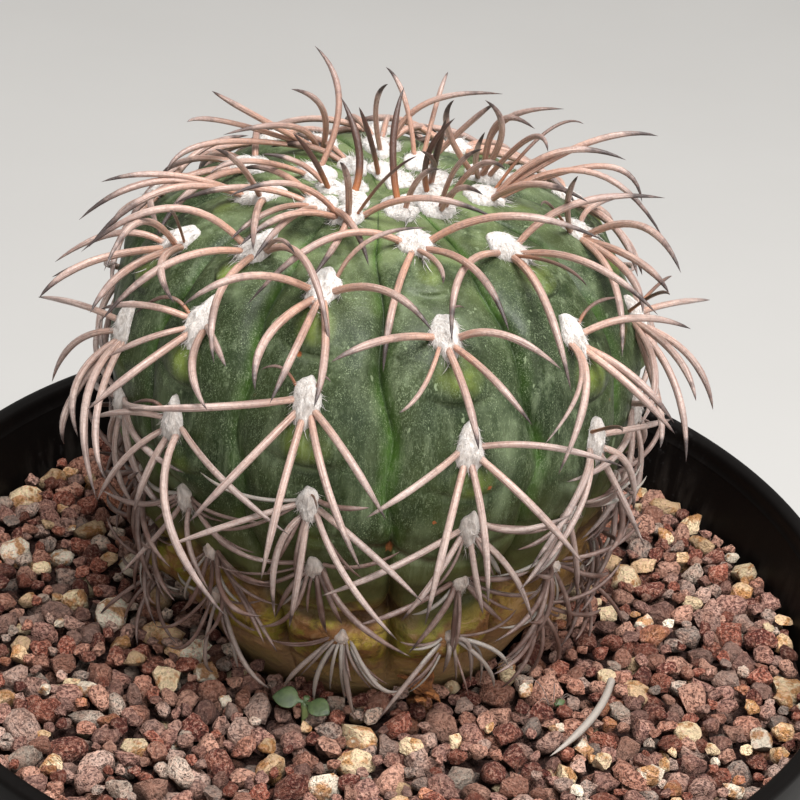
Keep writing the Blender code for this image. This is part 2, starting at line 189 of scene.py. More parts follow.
def moulded_plastic():
    material, tree, shader = finish("matt_black_plastic")
    place = object_place(tree)
    height = node(tree, "ShaderNodeSeparateXYZ", {0: place}).outputs["Z"]
    cloud = mottle(tree, place, 34.0, 4.0)
    streaks = mottle(tree, object_place(tree, 0.18), 260.0, 3.0)
    scuffs = spread(tree, mottle(tree, place, 620.0, 2.0), 0.60, 0.78)
    scuffs = times(tree, scuffs, spread(tree, cloud, 0.48, 0.66))
    film = times(tree, spread(tree, streaks, 0.45, 0.75), spread(tree, cloud, 0.40, 0.62))
    near_gravel = times(tree, spread(tree, height, 0.112, 0.121), spread(tree, height, 0.133, 0.124))
    film = times(tree, film, maths(tree, "MULTIPLY_ADD", near_gravel, 0.5, 0.06))
    colour = blended(tree, times(tree, scuffs, 0.55), POT_BLACK, POT_SCUFF)
    colour = blended(tree, film, colour, LIME_FILM)
    tree.links.new(colour, shader.inputs["Base Color"])
    tree.links.new(spread(tree, cloud, 0.3, 0.7, 0.38, 0.54), shader.inputs["Roughness"])
    shader.inputs["Specular IOR Level"].default_value = 0.065
    grain = plus(tree, mottle(tree, place, 2400.0, 2.0), times(tree, scuffs, 0.6))
    raise_bumps(tree, shader, grain, 0.00005, 0.55)
    return material


def place_piece(name, mesh, material, slot, *replaced):
    """Puts a finished mesh in the scene, riding on the one body and standing for the solids it replaces."""
    piece = bpy.data.objects.new(name, mesh)
    bpy.context.scene.collection.objects.link(piece)
    if material.name not in mesh.materials:
        mesh.materials.append(material)
    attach(piece, "root")
    if replaced:
        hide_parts(*replaced)
    return piece


def skin_mesh(name, rows, poles=(None, None), closed=False):
    """A mesh through rows of points that each go once round. Poles close its ends, or it closes on itself."""
    rows = np.asarray(rows, float)
    count, around = rows.shape[:2]
    points = rows.reshape(-1, 3).tolist()
    first = np.arange(count * around).reshape(count, around)
    lower = np.roll(first, -1, axis=0) if closed else first[1:]
    upper = first if closed else first[:-1]
    corners = [upper, lower, np.roll(lower, -1, axis=1), np.roll(upper, -1, axis=1)]
    faces = np.stack(corners, -1).reshape(-1, 4).tolist()
    for pole, ring, turn in zip(poles, (first[0], first[-1]), (1, -1)):
        if pole is not None:
            points.append(tuple(pole))
            following = np.roll(ring, -turn)
            faces += [(len(points) - 1, int(a), int(b)) for a, b in zip(ring, following)]
    mesh = bpy.data.meshes.new(name)
    mesh.from_pydata(points, [], faces)
    mesh.validate()
    mesh.shade_smooth()
    return mesh


def pot_inner_radius(height):
    """Inner radius of the pot's tapered wall at a height."""
    share = height / POT_HEIGHT
    return FOOT_RADIUS + (RIM_RADIUS - LIP_WIDTH + POT_WALL - FOOT_RADIUS) * share - POT_WALL


def rounded(corner_list, radius, steps=4):
    """An outline with each corner given a round of its own radius, or left sharp where that is 0."""
    outline = []
    last = len(corner_list) - 1
    for number, (corner, size) in enumerate(zip(corner_list, radius)):
        if size == 0 or number in (0, last):
            outline.append(corner)
            continue
        here = Vector(corner)
        before = here + (Vector(corner_list[number - 1]) - here).normalized() * size
        after = here + (Vector(corner_list[number + 1]) - here).normalized() * size
        for step in range(steps + 1):
            share = step / steps
            outline.append(tuple(before.lerp(here, share).lerp(here.lerp(after, share), share)))
    return outline


def pot_outline():
    """(radius, height) from the middle of the underside, up the wall, over the lip and back inside."""
    wall_top = POT_HEIGHT - LIP_DEPTH
    floor = BASE_RECESS + POT_WALL
    inner = pot_inner_radius(POT_HEIGHT)
    corners = [
        ((0.012, BASE_RECESS), 0.0),
        ((FOOT_RADIUS - FOOT_RING_WIDTH - FOOT_CHAMFER, BASE_RECESS), 0.0008),
        ((FOOT_RADIUS - FOOT_RING_WIDTH, 0.0), 0.0006),
        ((FOOT_RADIUS - FOOT_CHAMFER * 0.4, 0.0), 0.0011),
        ((FOOT_RADIUS + 0.0002, FOOT_CHAMFER), 0.0008),
        ((pot_inner_radius(wall_top - 0.030) + POT_WALL, wall_top - 0.030), 0.0004),
        ((pot_inner_radius(wall_top) + POT_WALL, wall_top), 0.0009),
        ((RIM_RADIUS - LIP_DRAFT, wall_top), 0.0005),
        ((RIM_RADIUS, POT_HEIGHT), LIP_ROUND),
        ((inner, POT_HEIGHT), LIP_ROUND),
        ((inner - 0.0002, POT_HEIGHT - 0.0034), 0.0010),
        ((pot_inner_radius(POT_HEIGHT - 0.0040), POT_HEIGHT - 0.0040), 0.0003),
        ((pot_inner_radius(floor), floor), 0.0020),
        ((0.012, floor), 0.0),
    ]
    return rounded([corner for corner, _ in corners], [size for _, size in corners])


def turned_mesh(name, outline, sides, wobble=0.0):
    """A body of revolution, a little out of round by wobble."""
    turn = np.linspace(0.0, 2 * math.pi, sides, endpoint=False)
    rows = []
    for radius, height in outline:
        lift = height / POT_HEIGHT
        ring = radius * (1 - wobble * lift * (1 + np.sin(2 * turn + 0.6)))
        rows.append(np.stack([ring * np.sin(turn), -ring * np.cos(turn), np.full(sides, height)], -1))
    return skin_mesh(name, rows, ((0.0, 0.0, outline[0][1]), (0.0, 0.0, outline[-1][1])))


def evaluated_mesh(piece, name):
    """The piece's mesh with its modifiers applied. The piece itself is removed."""
    bpy.context.view_layer.update()
    graph = bpy.context.evaluated_depsgraph_get()
    mesh = bpy.data.meshes.new_from_object(piece.evaluated_get(graph))
    mesh.name = name
    bpy.data.objects.remove(piece, do_unlink=True)
    return mesh


def make_pot():
    mesh = turned_mesh("pot_shell", pot_outline(), POT_SIDES, wobble=POT_WOBBLE)
    blank = bpy.data.objects.new("pot_blank", mesh)
    bpy.context.scene.collection.objects.link(blank)
    punches = bpy.data.collections.new("drain_punches")
    for number in range(DRAIN_HOLES):
        turn = Matrix.Rotation(2 * math.pi * number / DRAIN_HOLES, 4, "Z")
        place = turn @ Vector((DRAIN_CIRCLE_RADIUS, 0.0, BASE_RECESS + POT_WALL / 2))
        shape = bmesh.new()
        bmesh.ops.create_cone(
            shape,
            cap_ends=True,
            segments=HOLE_SIDES,
            radius1=DRAIN_HOLE_RADIUS,
            radius2=DRAIN_HOLE_RADIUS,
            depth=4 * POT_WALL,
            matrix=Matrix.Translation(place),
        )
        punch_mesh = bpy.data.meshes.new("drain_punch")
        shape.to_mesh(punch_mesh)
        shape.free()
        punches.objects.link(bpy.data.objects.new("drain_punch", punch_mesh))
    bpy.context.scene.collection.children.link(punches)
    punched = blank.modifiers.new("punched", "BOOLEAN")
    punched.operation = "DIFFERENCE"
    punched.operand_type = "COLLECTION"
    punched.collection = punches
    mesh = evaluated_mesh(blank, "pot_shell")
    for punch in list(punches.objects):
        bpy.data.objects.remove(punch, do_unlink=True)
    bpy.data.collections.remove(punches)
    mesh.set_sharp_from_angle(angle=math.radians(POT_SHARP_ANGLE))
    return place_piece("pot_shell", mesh, moulded_plastic(), "pot", "pot")


make_pot()

# Growing mix: fine dark grit and composted bark that fills the pot under the gravel. Only its underside
# shows, through the drain holes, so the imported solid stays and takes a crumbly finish.

MIX_DARK = (0.020, 0.013, 0.009)
MIX_LIGHT = (0.085, 0.058, 0.040)


def crumbly_mix():
    material, tree, shader = finish("crumbly_mix")
    place = object_place(tree)
    crumbs = node(tree, "ShaderNodeTexVoronoi", {"Vector": place, "Scale": 520.0})
    tint = node(tree, "ShaderNodeSeparateColor", {0: crumbs.outputs["Color"]}).outputs[0]
    colour = blended(tree, maths(tree, "POWER", tint, 2.2), MIX_DARK, MIX_LIGHT)
    tree.links.new(colour, shader.inputs["Base Color"])
    shader.inputs["Roughness"].default_value = 0.95
    raise_bumps(tree, shader, minus(tree, 1.0, crumbs.outputs["Distance"]), 0.0008)
    return material


frame["nodes"]["growing_mix"].material_slots[0].material = crumbly_mix()

# Gravel dressing: about a centimetre of crushed red-brown lava, with some pale pumice and grey stones, laid
# loose and level round the plant's foot. Each stone is its own broken shape, packed against its neighbours.

GRAVEL_LEVEL = 0.123
GRAVEL_DEPTH = 0.012
STEM_FOOT = Vector((-0.0013, 0.0167))
FOOT_CLEARANCE = 0.0362
BED_DROP = 0.0030
BED_RINGS = 26
BED_COLUMNS = 150
BED_UNEVEN = 0.0006
BED_OVERLAP = 0.0008
BED_COLOUR = 0.05
WALL_GAP = 0.0003
MARKED_WALL_GAP = 0.0004

# Sizes of stone that are laid in turn, as (smallest radius, largest radius, trials)
STONE_BOUNDS = (
    (0.0030, 0.0039, 130),
    (0.0023, 0.0030, 1300),
    (0.0017, 0.0023, 6000),
    (0.0011, 0.0017, 24000),
)
UNDER_BOUNDS = ((0.0026, 0.0036, 700), (0.0018, 0.0026, 5000))
STONE_OVERLAP = 0.83
STONE_BY_FOOT = 0.75
STONE_BREAKS = 10
STONE_BREAK_REACH = (0.50, 0.93)
STONE_BULK = 1.20
STONE_JITTER = (0.83, 1.14)
STONE_SHARP_ANGLE = 46.0
STONE_SEAT = 0.66
STONE_UNEVEN = (-0.0011, 0.0009)
STONE_COLOUR_POWER = 1.08
STONE_TOP = 0.0018
UNDER_TOP = -0.0008
STONE_SHAPES = 14
STONE_SEED = 5
LAVA_STOPS = (
    (0.00, (0.120, 0.026, 0.018)),
    (0.10, (0.245, 0.066, 0.040)),
    (0.20, (0.255, 0.130, 0.105)),
    (0.36, (0.370, 0.165, 0.112)),
    (0.48, (0.330, 0.200, 0.162)),
    (0.60, (0.470, 0.250, 0.180)),
    (0.69, (0.480, 0.335, 0.275)),
    (0.76, (0.320, 0.255, 0.215)),
    (0.81, (0.520, 0.425, 0.345)),
    (0.86, (0.440, 0.170, 0.095)),
    (0.89, (0.640, 0.440, 0.250)),
    (0.93, (0.740, 0.580, 0.360)),
    (0.970, (0.800, 0.700, 0.550)),
)
LAVA_RED = (0.400, 0.165, 0.100)
LAVA_RUST = (0.400, 0.175, 0.050)
LAVA_DUST_AND_HIGHLIGHT = (0.640, 0.385, 0.290)
LAVA_PORE_SHADE = (0.060, 0.026, 0.020)
LAVA_RUBBED = (0.095, 0.045, 0.034)

# The eye of the photograph, for every place that was read from it as a pixel of 800
EYE = Vector((0.002427, -0.412022, 0.423252))
EYE_RIGHT = Vector((0.99528, 0.04921, 0.08368))
EYE_UP = Vector((-0.09707, 0.50453, 0.85792))
EYE_AHEAD = Vector((0.0, 0.86199, -0.50692))
EYE_REACH = 2401.3
PICTURE_HALF = 400.0

# Stones that stand out in the photograph: (pixel across, pixel down, size in mm, colour share)
MARKED_STONES = (
    (25, 495, 8.2, 0.96), (22, 461, 7.0, 0.92), (15, 551, 8.4, 0.99), (75, 600, 6.6, 0.95),
    (113, 616, 8.6, 0.98), (161, 633, 8.8, 0.92), (91, 528, 8.0, 0.93), (195, 656, 6.4, 0.99),
    (166, 684, 6.6, 0.95), (86, 716, 7.0, 0.86), (23, 757, 6.4, 0.86), (22, 728, 9.0, 0.70),
    (269, 766, 6.6, 0.92), (325, 788, 7.0, 0.99), (354, 764, 7.2, 0.96), (362, 736, 7.8, 0.95),
    (391, 779, 7.4, 0.64), (460, 775, 6.0, 0.86), (507, 676, 4.8, 0.97), (258, 711, 6.0, 0.76),
    (150, 785, 6.4, 0.62), (182, 776, 6.0, 0.84), (576, 590, 7.2, 0.97), (628, 577, 8.4, 0.96),
    (592, 553, 5.4, 0.89), (553, 618, 5.6, 0.93), (586, 646, 5.6, 0.06), (608, 614, 5.0, 0.97),
    (644, 622, 4.4, 0.99), (680, 664, 7.0, 0.67), (686, 734, 5.8, 0.94), (663, 497, 7.6, 0.67),
    (668, 476, 6.4, 0.96), (700, 493, 6.8, 0.93), (722, 516, 5.6, 0.96), (770, 569, 5.8, 0.96),
    (788, 686, 8.2, 0.95), (742, 592, 4.6, 0.93), (628, 748, 6.6, 0.68), (640, 551, 6.2, 0.79),
)


def picture_ray(across, down):
    """Direction from the eye through a pixel of the photograph."""
    sideways = EYE_RIGHT * (across - PICTURE_HALF)
    upwards = EYE_UP * (PICTURE_HALF - down)
    return (EYE_AHEAD * EYE_REACH + sideways + upwards).normalized()


def on_gravel(across, down, above=0.0):
    """The place of a pixel on the level of the gravel, or a little above it."""
    ray = picture_ray(across, down)
    return (EYE + ray * ((GRAVEL_LEVEL + above - EYE.z) / ray.z)).xy


def new_tree(name, inputs):
    """A node tree for shapes, with a geometry input and named inputs: name -> (kind, value)."""
    tree = bpy.data.node_groups.new(name, "GeometryNodeTree")
    tree.interface.new_socket("Geometry", in_out="INPUT", socket_type="NodeSocketGeometry")
    for label, (kind, value) in inputs.items():
        socket = tree.interface.new_socket(label, in_out="INPUT", socket_type=f"NodeSocket{kind}")
        if kind not in ("Collection", "Material"):
            socket.default_value = value
    tree.interface.new_socket("Geometry", in_out="OUTPUT", socket_type="NodeSocketGeometry")
    return tree, node(tree, "NodeGroupInput").outputs


def end_tree(tree, shape, material):
    """Ends a tree in real geometry with its material."""
    real = node(tree, "GeometryNodeRealizeInstances", {0: shape}).outputs[0]
    painted = node(tree, "GeometryNodeSetMaterial", {0: real, "Material": material}).outputs[0]
    node(tree, "NodeGroupOutput", {0: painted})


def attribute(tree, name, kind="FLOAT"):
    """A named attribute's socket, in a tree for shapes."""
    return node(tree, "GeometryNodeInputNamedAttribute", {0: name}, data_type=kind).outputs[0]


def chance_of(tree, low, high, seed):
    """A random number for each element."""
    return node(tree, "FunctionNodeRandomValue", {2: low, 3: high, "Seed": seed}).outputs[1]


def chance_vector(tree, low, high, seed):
    """A random vector for each element."""
    feeds = {0: low, 1: high, "Seed": seed}
    return node(tree, "FunctionNodeRandomValue", feeds, data_type="FLOAT_VECTOR").outputs[0]


def grown_mesh(name, source, tree, inputs):
    """Runs a tree on a source mesh with its named inputs, and returns the plain mesh that it makes."""
    holder = bpy.data.objects.new(name, source)
    grower = holder.modifiers.new(name, "NODES")
    grower.node_group = tree
    for item in tree.interface.items_tree:
        if item.in_out == "INPUT" and item.name in inputs:
            grower[item.identifier] = inputs[item.name]
    bpy.context.scene.collection.objects.link(holder)
    return evaluated_mesh(holder, name)


def write_attribute(mesh, name, values, kind="FLOAT"):
    """Stores one value for each point."""
    layer = mesh.attributes.new(name, kind, "POINT")
    field = "vector" if kind == "FLOAT_VECTOR" else "value"
    layer.data.foreach_set(field, np.asarray(values, np.float32).ravel())


def template_collection(name, meshes):
    """A hidden collection that holds the shapes for a tree to copy."""
    shapes = bpy.data.collections.new(name)
    for number, mesh in enumerate(meshes):
        shapes.objects.link(bpy.data.objects.new(f"{name}_{number:02d}", mesh))
    return shapes


def clear_templates(shapes):
    for shape in list(shapes.objects):
        bpy.data.objects.remove(shape, do_unlink=True)
    bpy.data.collections.remove(shapes)


def broken_stone(chance):
    """A small stone, cut by flat breaks, with a rough skin."""
    shape = bmesh.new()
    bmesh.ops.create_icosphere(shape, subdivisions=2, radius=1.0)
    breaks = []
    for _ in range(STONE_BREAKS):
        facing = Vector([chance.gauss(0.0, 1.0) for _ in range(3)]).normalized()
        breaks.append((facing, chance.uniform(*STONE_BREAK_REACH)))
    for corner in shape.verts:
        for facing, reach in breaks:
            beyond = corner.co.dot(facing) - reach
            if beyond > 0:
                corner.co -= facing * beyond
        corner.co *= STONE_BULK * chance.uniform(*STONE_JITTER)
    mesh = bpy.data.meshes.new("broken_stone")
    shape.to_mesh(mesh)
    shape.free()
    mesh.shade_smooth()
    mesh.set_sharp_from_angle(angle=math.radians(STONE_SHARP_ANGLE))
    return mesh


def packed_stones(bounds, marked, chance):
    """Places for stones of each size in turn, none far into another: rows of (x, y, radius, colour share)."""
    edge = pot_inner_radius(GRAVEL_LEVEL)
    cell = 2 * bounds[0][1]
    laid = {}
    rows = []

    def lay(x, y, radius, share):
        laid.setdefault((int(x // cell), int(y // cell)), []).append((x, y, radius))
        rows.append((x, y, radius, share))

    for across, down, size, share in marked:
        place = on_gravel(across, down)
        radius = size / 1000 / 2
        reach = edge - radius - MARKED_WALL_GAP
        if place.length > reach:
            place = place * (reach / place.length)
        lay(place.x, place.y, radius, share)
    for smallest, largest, trials in bounds:
        for _ in range(trials):
            turn = chance.uniform(0.0, 2 * math.pi)
            radius = chance.uniform(smallest, largest)
            reach = (edge - radius - WALL_GAP) * math.sqrt(chance.random())
            x, y = reach * math.sin(turn), reach * math.cos(turn)
            if math.hypot(x - STEM_FOOT.x, y - STEM_FOOT.y) < FOOT_CLEARANCE + STONE_BY_FOOT * radius:
                continue
            column, row = int(x // cell), int(y // cell)
            near = [
                other
                for i in (column - 1, column, column + 1)
                for j in (row - 1, row, row + 1)
                for other in laid.get((i, j), ())
            ]
            if all(math.hypot(x - a, y - b) > STONE_OVERLAP * (radius + c) for a, b, c in near):
                lay(x, y, radius, chance.random() ** STONE_COLOUR_POWER)
    return rows


def stone_points(name, rows, top, chance):
    """The stones' centres as loose points, with their size and colour. Their tops lie about one level."""
    mesh = bpy.data.meshes.new(name)
    places = []
    for x, y, size, _ in rows:
        places.append((x, y, GRAVEL_LEVEL + top - STONE_SEAT * size + chance.uniform(*STONE_UNEVEN)))
    mesh.from_pydata(places, [], [])
    write_attribute(mesh, "stone_size", [size for _, _, size, _ in rows])
    write_attribute(mesh, "stone_colour", [share for _, _, _, share in rows])
    write_attribute(mesh, "stone_grain", [chance.random() for _ in rows])
    return mesh


def scaled(tree, vector, size):
    """A vector, made longer or shorter."""
    feeds = {0: vector, "Scale": size}
    return node(tree, "ShaderNodeVectorMath", feeds, operation="SCALE").outputs[0]


def moved(tree, vector, by):
    """A vector with another one added."""
    return node(tree, "ShaderNodeVectorMath", {0: vector, 1: by}, operation="ADD").outputs[0]


def stone_tree():
    """Sets one turned, stretched stone shape on each point."""
    inputs = {
        "Stones": ("Collection", None),
        "Lean": ("Float", 0.45),
        "Flattest": ("Float", 0.62),
        "Longest": ("Float", 1.18),
        "Seed": ("Int", STONE_SEED),
        "Material": ("Material", None),
    }
    tree, given = new_tree("laid_stones", inputs)
    seed = given["Seed"]
    backwards = times(tree, given["Lean"], -1.0)
    lean = chance_of(tree, backwards, given["Lean"], seed)
    tip = chance_of(tree, backwards, given["Lean"], plus(tree, seed, 1))
    turn = chance_of(tree, 0.0, 2 * math.pi, plus(tree, seed, 2))
    turned = node(tree, "ShaderNodeCombineXYZ", {0: lean, 1: tip, 2: turn}).outputs[0]
    turned = node(tree, "FunctionNodeEulerToRotation", {0: turned}).outputs[0]
    size = attribute(tree, "stone_size")
    stretch = chance_of(tree, 0.98, given["Longest"], plus(tree, seed, 3))
    thick = chance_of(tree, given["Flattest"], 0.86, plus(tree, seed, 4))
    feeds = {0: stretch, 1: maths(tree, "DIVIDE", 0.97, stretch), 2: thick}
    shape = scaled(tree, node(tree, "ShaderNodeCombineXYZ", feeds).outputs[0], size)
    feeds = {0: given["Stones"], 1: True, 2: True}
    shapes = node(tree, "GeometryNodeCollectionInfo", feeds).outputs[0]
    feeds = {4: 0, 5: STONE_SHAPES - 1, "Seed": plus(tree, seed, 5)}
    pick = node(tree, "FunctionNodeRandomValue", feeds, data_type="INT").outputs[2]
    feeds = {0: given["Geometry"], 2: shapes, 3: True, 4: pick, 5: turned, 6: shape}
    laid = node(tree, "GeometryNodeInstanceOnPoints", feeds).outputs[0]
    end_tree(tree, laid, given["Material"])
    return tree


def mottle_colour(tree, place, scale):
    """A noise of three separate values, to push a place about."""
    return node(tree, "ShaderNodeTexNoise", {"Vector": place, "Scale": scale, "Detail": 2.0}).outputs["Color"]


def crushed_lava():
    material, tree, shader = finish("crushed_lava")
    place = object_place(tree)
    own = stored(tree, "stone_colour")
    grain = stored(tree, "stone_grain")
    clean = ramp(tree, own, LAVA_STOPS, "CONSTANT")
    pale = spread(tree, own, 0.86, 0.90)
    cloud = mottle(tree, place, 300.0, 4.0, 0.6)
    colour = blended(tree, spread(tree, cloud, 0.42, 0.66, 0.0, 0.38), clean, LAVA_RED)
    colour = blended(tree, times(tree, pale, 0.85), colour, clean)
    stain = times(tree, spread(tree, mottle(tree, place, 240.0, 3.0, 0.6), 0.49, 0.57, 0.0, 0.90), pale)
    colour = blended(tree, stain, colour, LAVA_RUST)
    # Pale dust on the stones. It follows the same noise as the crags of the relief, so it is partly a painted
    # highlight on their ridges.
    dust_and_highlight = spread(tree, mottle(tree, place, 1300.0, 4.0, 0.75), 0.50, 0.62, 0.0, 0.52)
    colour = blended(tree, dust_and_highlight, colour, LAVA_DUST_AND_HIGHLIGHT)
    warped = scaled(tree, mottle_colour(tree, place, 700.0), 0.0011)
    feeds = {"Vector": moved(tree, place, warped), "Scale": 1500.0, "Randomness": 1.0}
    pores = node(tree, "ShaderNodeTexVoronoi", feeds).outputs["Distance"]
    holes = mottle(tree, place, 1300.0, 3.0, 0.55)
    pores = spread(tree, pores, 0.05, 0.34, 0.35, 1.0)
    pits = maths(tree, "MINIMUM", pores, spread(tree, holes, 0.36, 0.44, 0.25, 1.0))
    porous = times(tree, spread(tree, grain, -0.10, 0.60), maths(tree, "MULTIPLY_ADD", pale, -0.6, 1.0))
    # Painted shade in the pores: the pits of the porous stones are darkened.
    dark = times(tree, minus(tree, 1.0, pits), times(tree, porous, 0.86))
    colour = blended(tree, dark, colour, LAVA_PORE_SHADE)
    rubbed = spread(tree, mottle(tree, place, 620.0, 4.0, 0.7), 0.50, 0.30, 0.0, 0.50)
    rubbed = times(tree, rubbed, maths(tree, "MULTIPLY_ADD", pale, -0.5, 1.0))
    colour = blended(tree, rubbed, colour, LAVA_RUBBED)
    height = node(tree, "ShaderNodeSeparateXYZ", {0: place}).outputs["Z"]
    # Painted shade: below the gravel's top the stones, and the bed under them, darken towards the bottom, as
    # in the shaded gaps between stones.
    low_shade = spread(tree, height, GRAVEL_LEVEL - 0.0022, GRAVEL_LEVEL + 0.0007, 0.26, 1.0)
    value = maths(tree, "MULTIPLY_ADD", pale, 0.20, spread(tree, grain, 0.0, 1.0, 0.74, 1.78))
    value = times(tree, value, low_shade)
    bright = node(tree, "ShaderNodeHueSaturation", {"Value": value, "Color": colour})
    tree.links.new(bright.outputs[0], shader.inputs["Base Color"])
    shader.inputs["Roughness"].default_value = 0.93
    shader.inputs["Specular IOR Level"].default_value = 0.25
    crags = plus(tree, mottle(tree, place, 1300.0, 5.0, 0.70), mottle(tree, place, 480.0, 4.0, 0.65))
    relief = maths(tree, "MULTIPLY_ADD", times(tree, pits, porous), 1.1, crags)
    raise_bumps(tree, shader, relief, 0.0023)
    return material


def gravel_bed():
    """The dark packed layer that the loose stones lie on, a ring between the plant's foot and the wall."""
    turn = np.linspace(0.0, 2 * math.pi, BED_COLUMNS, endpoint=False)
    out = np.stack([np.sin(turn), -np.cos(turn)], -1)
    rough = np.random.default_rng(STONE_SEED)
    foot = np.array(STEM_FOOT)
    rows = []
    top = GRAVEL_LEVEL - BED_DROP
    bottom = GRAVEL_LEVEL - GRAVEL_DEPTH
    inner = foot + out * (FOOT_CLEARANCE - BED_OVERLAP)
    for share in np.linspace(0.0, 1.0, BED_RINGS):
        ring = inner * (1 - share) + out * (pot_inner_radius(top) - WALL_GAP) * share
        height = top + rough.uniform(-BED_UNEVEN, BED_UNEVEN, BED_COLUMNS) * (0 < share < 1)
        rows.append(np.column_stack([ring, height]))
    edge = out * (pot_inner_radius(bottom) - WALL_GAP)
    rows.append(np.column_stack([edge, np.full(BED_COLUMNS, bottom)]))
    rows.append(np.column_stack([inner, np.full(BED_COLUMNS, bottom)]))
    return skin_mesh("gravel_bed", rows[::-1], closed=True)


def make_gravel():
    chance = random.Random(STONE_SEED)
    shapes = template_collection("stone_shape", [broken_stone(chance) for _ in range(STONE_SHAPES)])
    tree = stone_tree()
    lava = crushed_lava()
    top = packed_stones(STONE_BOUNDS, MARKED_STONES, chance)
    under = packed_stones(UNDER_BOUNDS, (), chance)
    parts = {
        "gravel_stones_front": ([row for row in top if row[1] < 0], STONE_TOP),
        "gravel_stones_back": ([row for row in top if row[1] >= 0], STONE_TOP),
        "gravel_stones_under": (under, UNDER_TOP),
    }
    for number, (name, (rows, height)) in enumerate(parts.items()):
        source = stone_points(name, rows, height, chance)
        inputs = {"Stones": shapes, "Seed": STONE_SEED + 10 * number, "Material": lava}
        mesh = grown_mesh(name, source, tree, inputs)
        place_piece(name, mesh, lava, "gravel", "gravel_dressing")
    clear_templates(shapes)
    # The bed is the dark grit under the stones, in the darkest stone colour. Below the gravel's top it also
    # takes the painted shade of the stones' finish.
    bed = gravel_bed()
    for name in ("stone_colour", "stone_grain"):
        write_attribute(bed, name, np.full(len(bed.vertices), BED_COLOUR))
    place_piece("gravel_bed", bed, lava, "gravel", "gravel_dressing")


make_gravel()

# Stem: one squat ribbed body of firm green flesh under a waxy skin. Eleven broad ribs swell into a chin
# under each areole, the grooves between them wander, and the oldest skin at the foot has gone corky.

STEM_LEAN = Vector((-0.041, 0.060))
STEM_RADIUS = 0.0548
WIDEST_HEIGHT = 0.0591
CROWN_RISE = 0.0351
CROWN_POWER = 2.645
FOOT_DROP = 0.0946
FOOT_POWER = 1.516
CROWN_DIMPLE = 0.0025
DIMPLE_REACH = 0.010
RIBS = 11
FIRST_RIB = -12.0
RIB_PITCH = 360.0 / RIBS
GROOVE_DEPTH = 0.0062
GROOVE_FADE = 0.030
RIB_ROUNDING = 0.22
GROOVE_PINCH = 0.34
GROOVE_SHARES = ((0.045, 1.00), (0.060, 0.80), (0.075, 0.42), (0.090, 0.40), (0.105, 0.80), (0.125, 1.00))
GROOVE_SWAY = 1.3
GROOVE_SWAY_REACH = 0.0070
GROOVE_STRAY = 0.006
ROOT_STEPS = ((0.004, 0.0330), (0.010, 0.0300), (0.024, 0.0220), (0.050, 0.0080))
ROOT_TIP = 0.004
AREOLE_BOUNDS = (0.0040, 0.0108, 0.0233, 0.0457, 0.0673, 0.0859, 0.0998, 0.1115, 0.1215)
AREOLE_GAP = 0.009
BARE_FOOT = 0.012
# A rib of the hidden side that stands a little aside, and by how many degrees
STRAY_RIB = 8
STRAY_RIB_TURN = 6.0
RIB_STARTS = (0.69, 0.00, 0.31, 0.63, 0.94, 0.25, 0.56, 0.87, 0.18, 0.80, 0.38)

# Where the photograph shows an areole it is placed from it, as (distance over the skin, angle in degrees)
SEEN_AREOLES = {
    0: (
        (0.0080, -35.0),
        (0.0150, -21.5),
        (0.0370, -14.0),
        (0.0595, -11.5),
        (0.0805, -10.0),
        (0.0960, -9.0),
        (0.1160, -3.0),
    ),
    1: (
        (0.0045, 30.0),
        (0.0105, 22.0),
        (0.0225, 19.0),
        (0.0455, 19.0),
        (0.0670, 22.0),
        (0.0850, 23.5),
        (0.0990, 23.5),
        (0.1135, 23.0),
    ),
    2: ((0.0062, 54.0), (0.0130, 54.5), (0.0300, 55.5), (0.0515, 53.0), (0.0735, 55.0), (0.0890, 51.0)),
    3: ((0.0083, 92.0), (0.0195, 91.0), (0.0400, 91.0), (0.0585, 82.5), (0.0765, 77.0)),
    9: ((0.0094, -75.0), (0.0240, -73.5), (0.0430, -66.0), (0.0630, -64.0), (0.0790, -63.0)),
    10: (
        (0.0066, -48.0),
        (0.0156, -46.0),
        (0.0330, -42.0),
        (0.0520, -40.5),
        (0.0730, -42.0),
        (0.0910, -41.5),
        (0.1020, -36.0),
        (0.1140, -37.0),
    ),
}
CHIN_RISE = 0.0021
CHIN_DROP = 0.0088
CHIN_REACH = 0.0052
CHIN_HALF_WIDTH = 0.33
CHIN_GROWN_AT = 0.030
CHIN_HOLLOW = 0.45
CHIN_HOLLOW_LEAD = 0.0045
CREASE_LEAD = 0.0068
CREASE_REACH = 0.0009
CREASE_DEPTH = 0.0011
CREASE_BEND = 0.0085
CREASE_HALF_WIDTH = 0.62
# Folds round the foot, as (distance over the skin, reach, strength)
FOLDS = ((0.0900, 0.0008, 0.8), (0.1080, 0.0015, 2.0), (0.1285, 0.0014, 1.8))
FOLD_DEPTH = 0.0012
FOLD_BEND = 0.0018
FOLD_WANDER = (0.0030, 0.0022)
ROLL_DISTANCE = 0.1180
ROLL_REACH = 0.0060
ROLL_RISE = 0.0020
SKIN_UNEVEN = 0.0009
FOOT_LUMPS = 0.0130
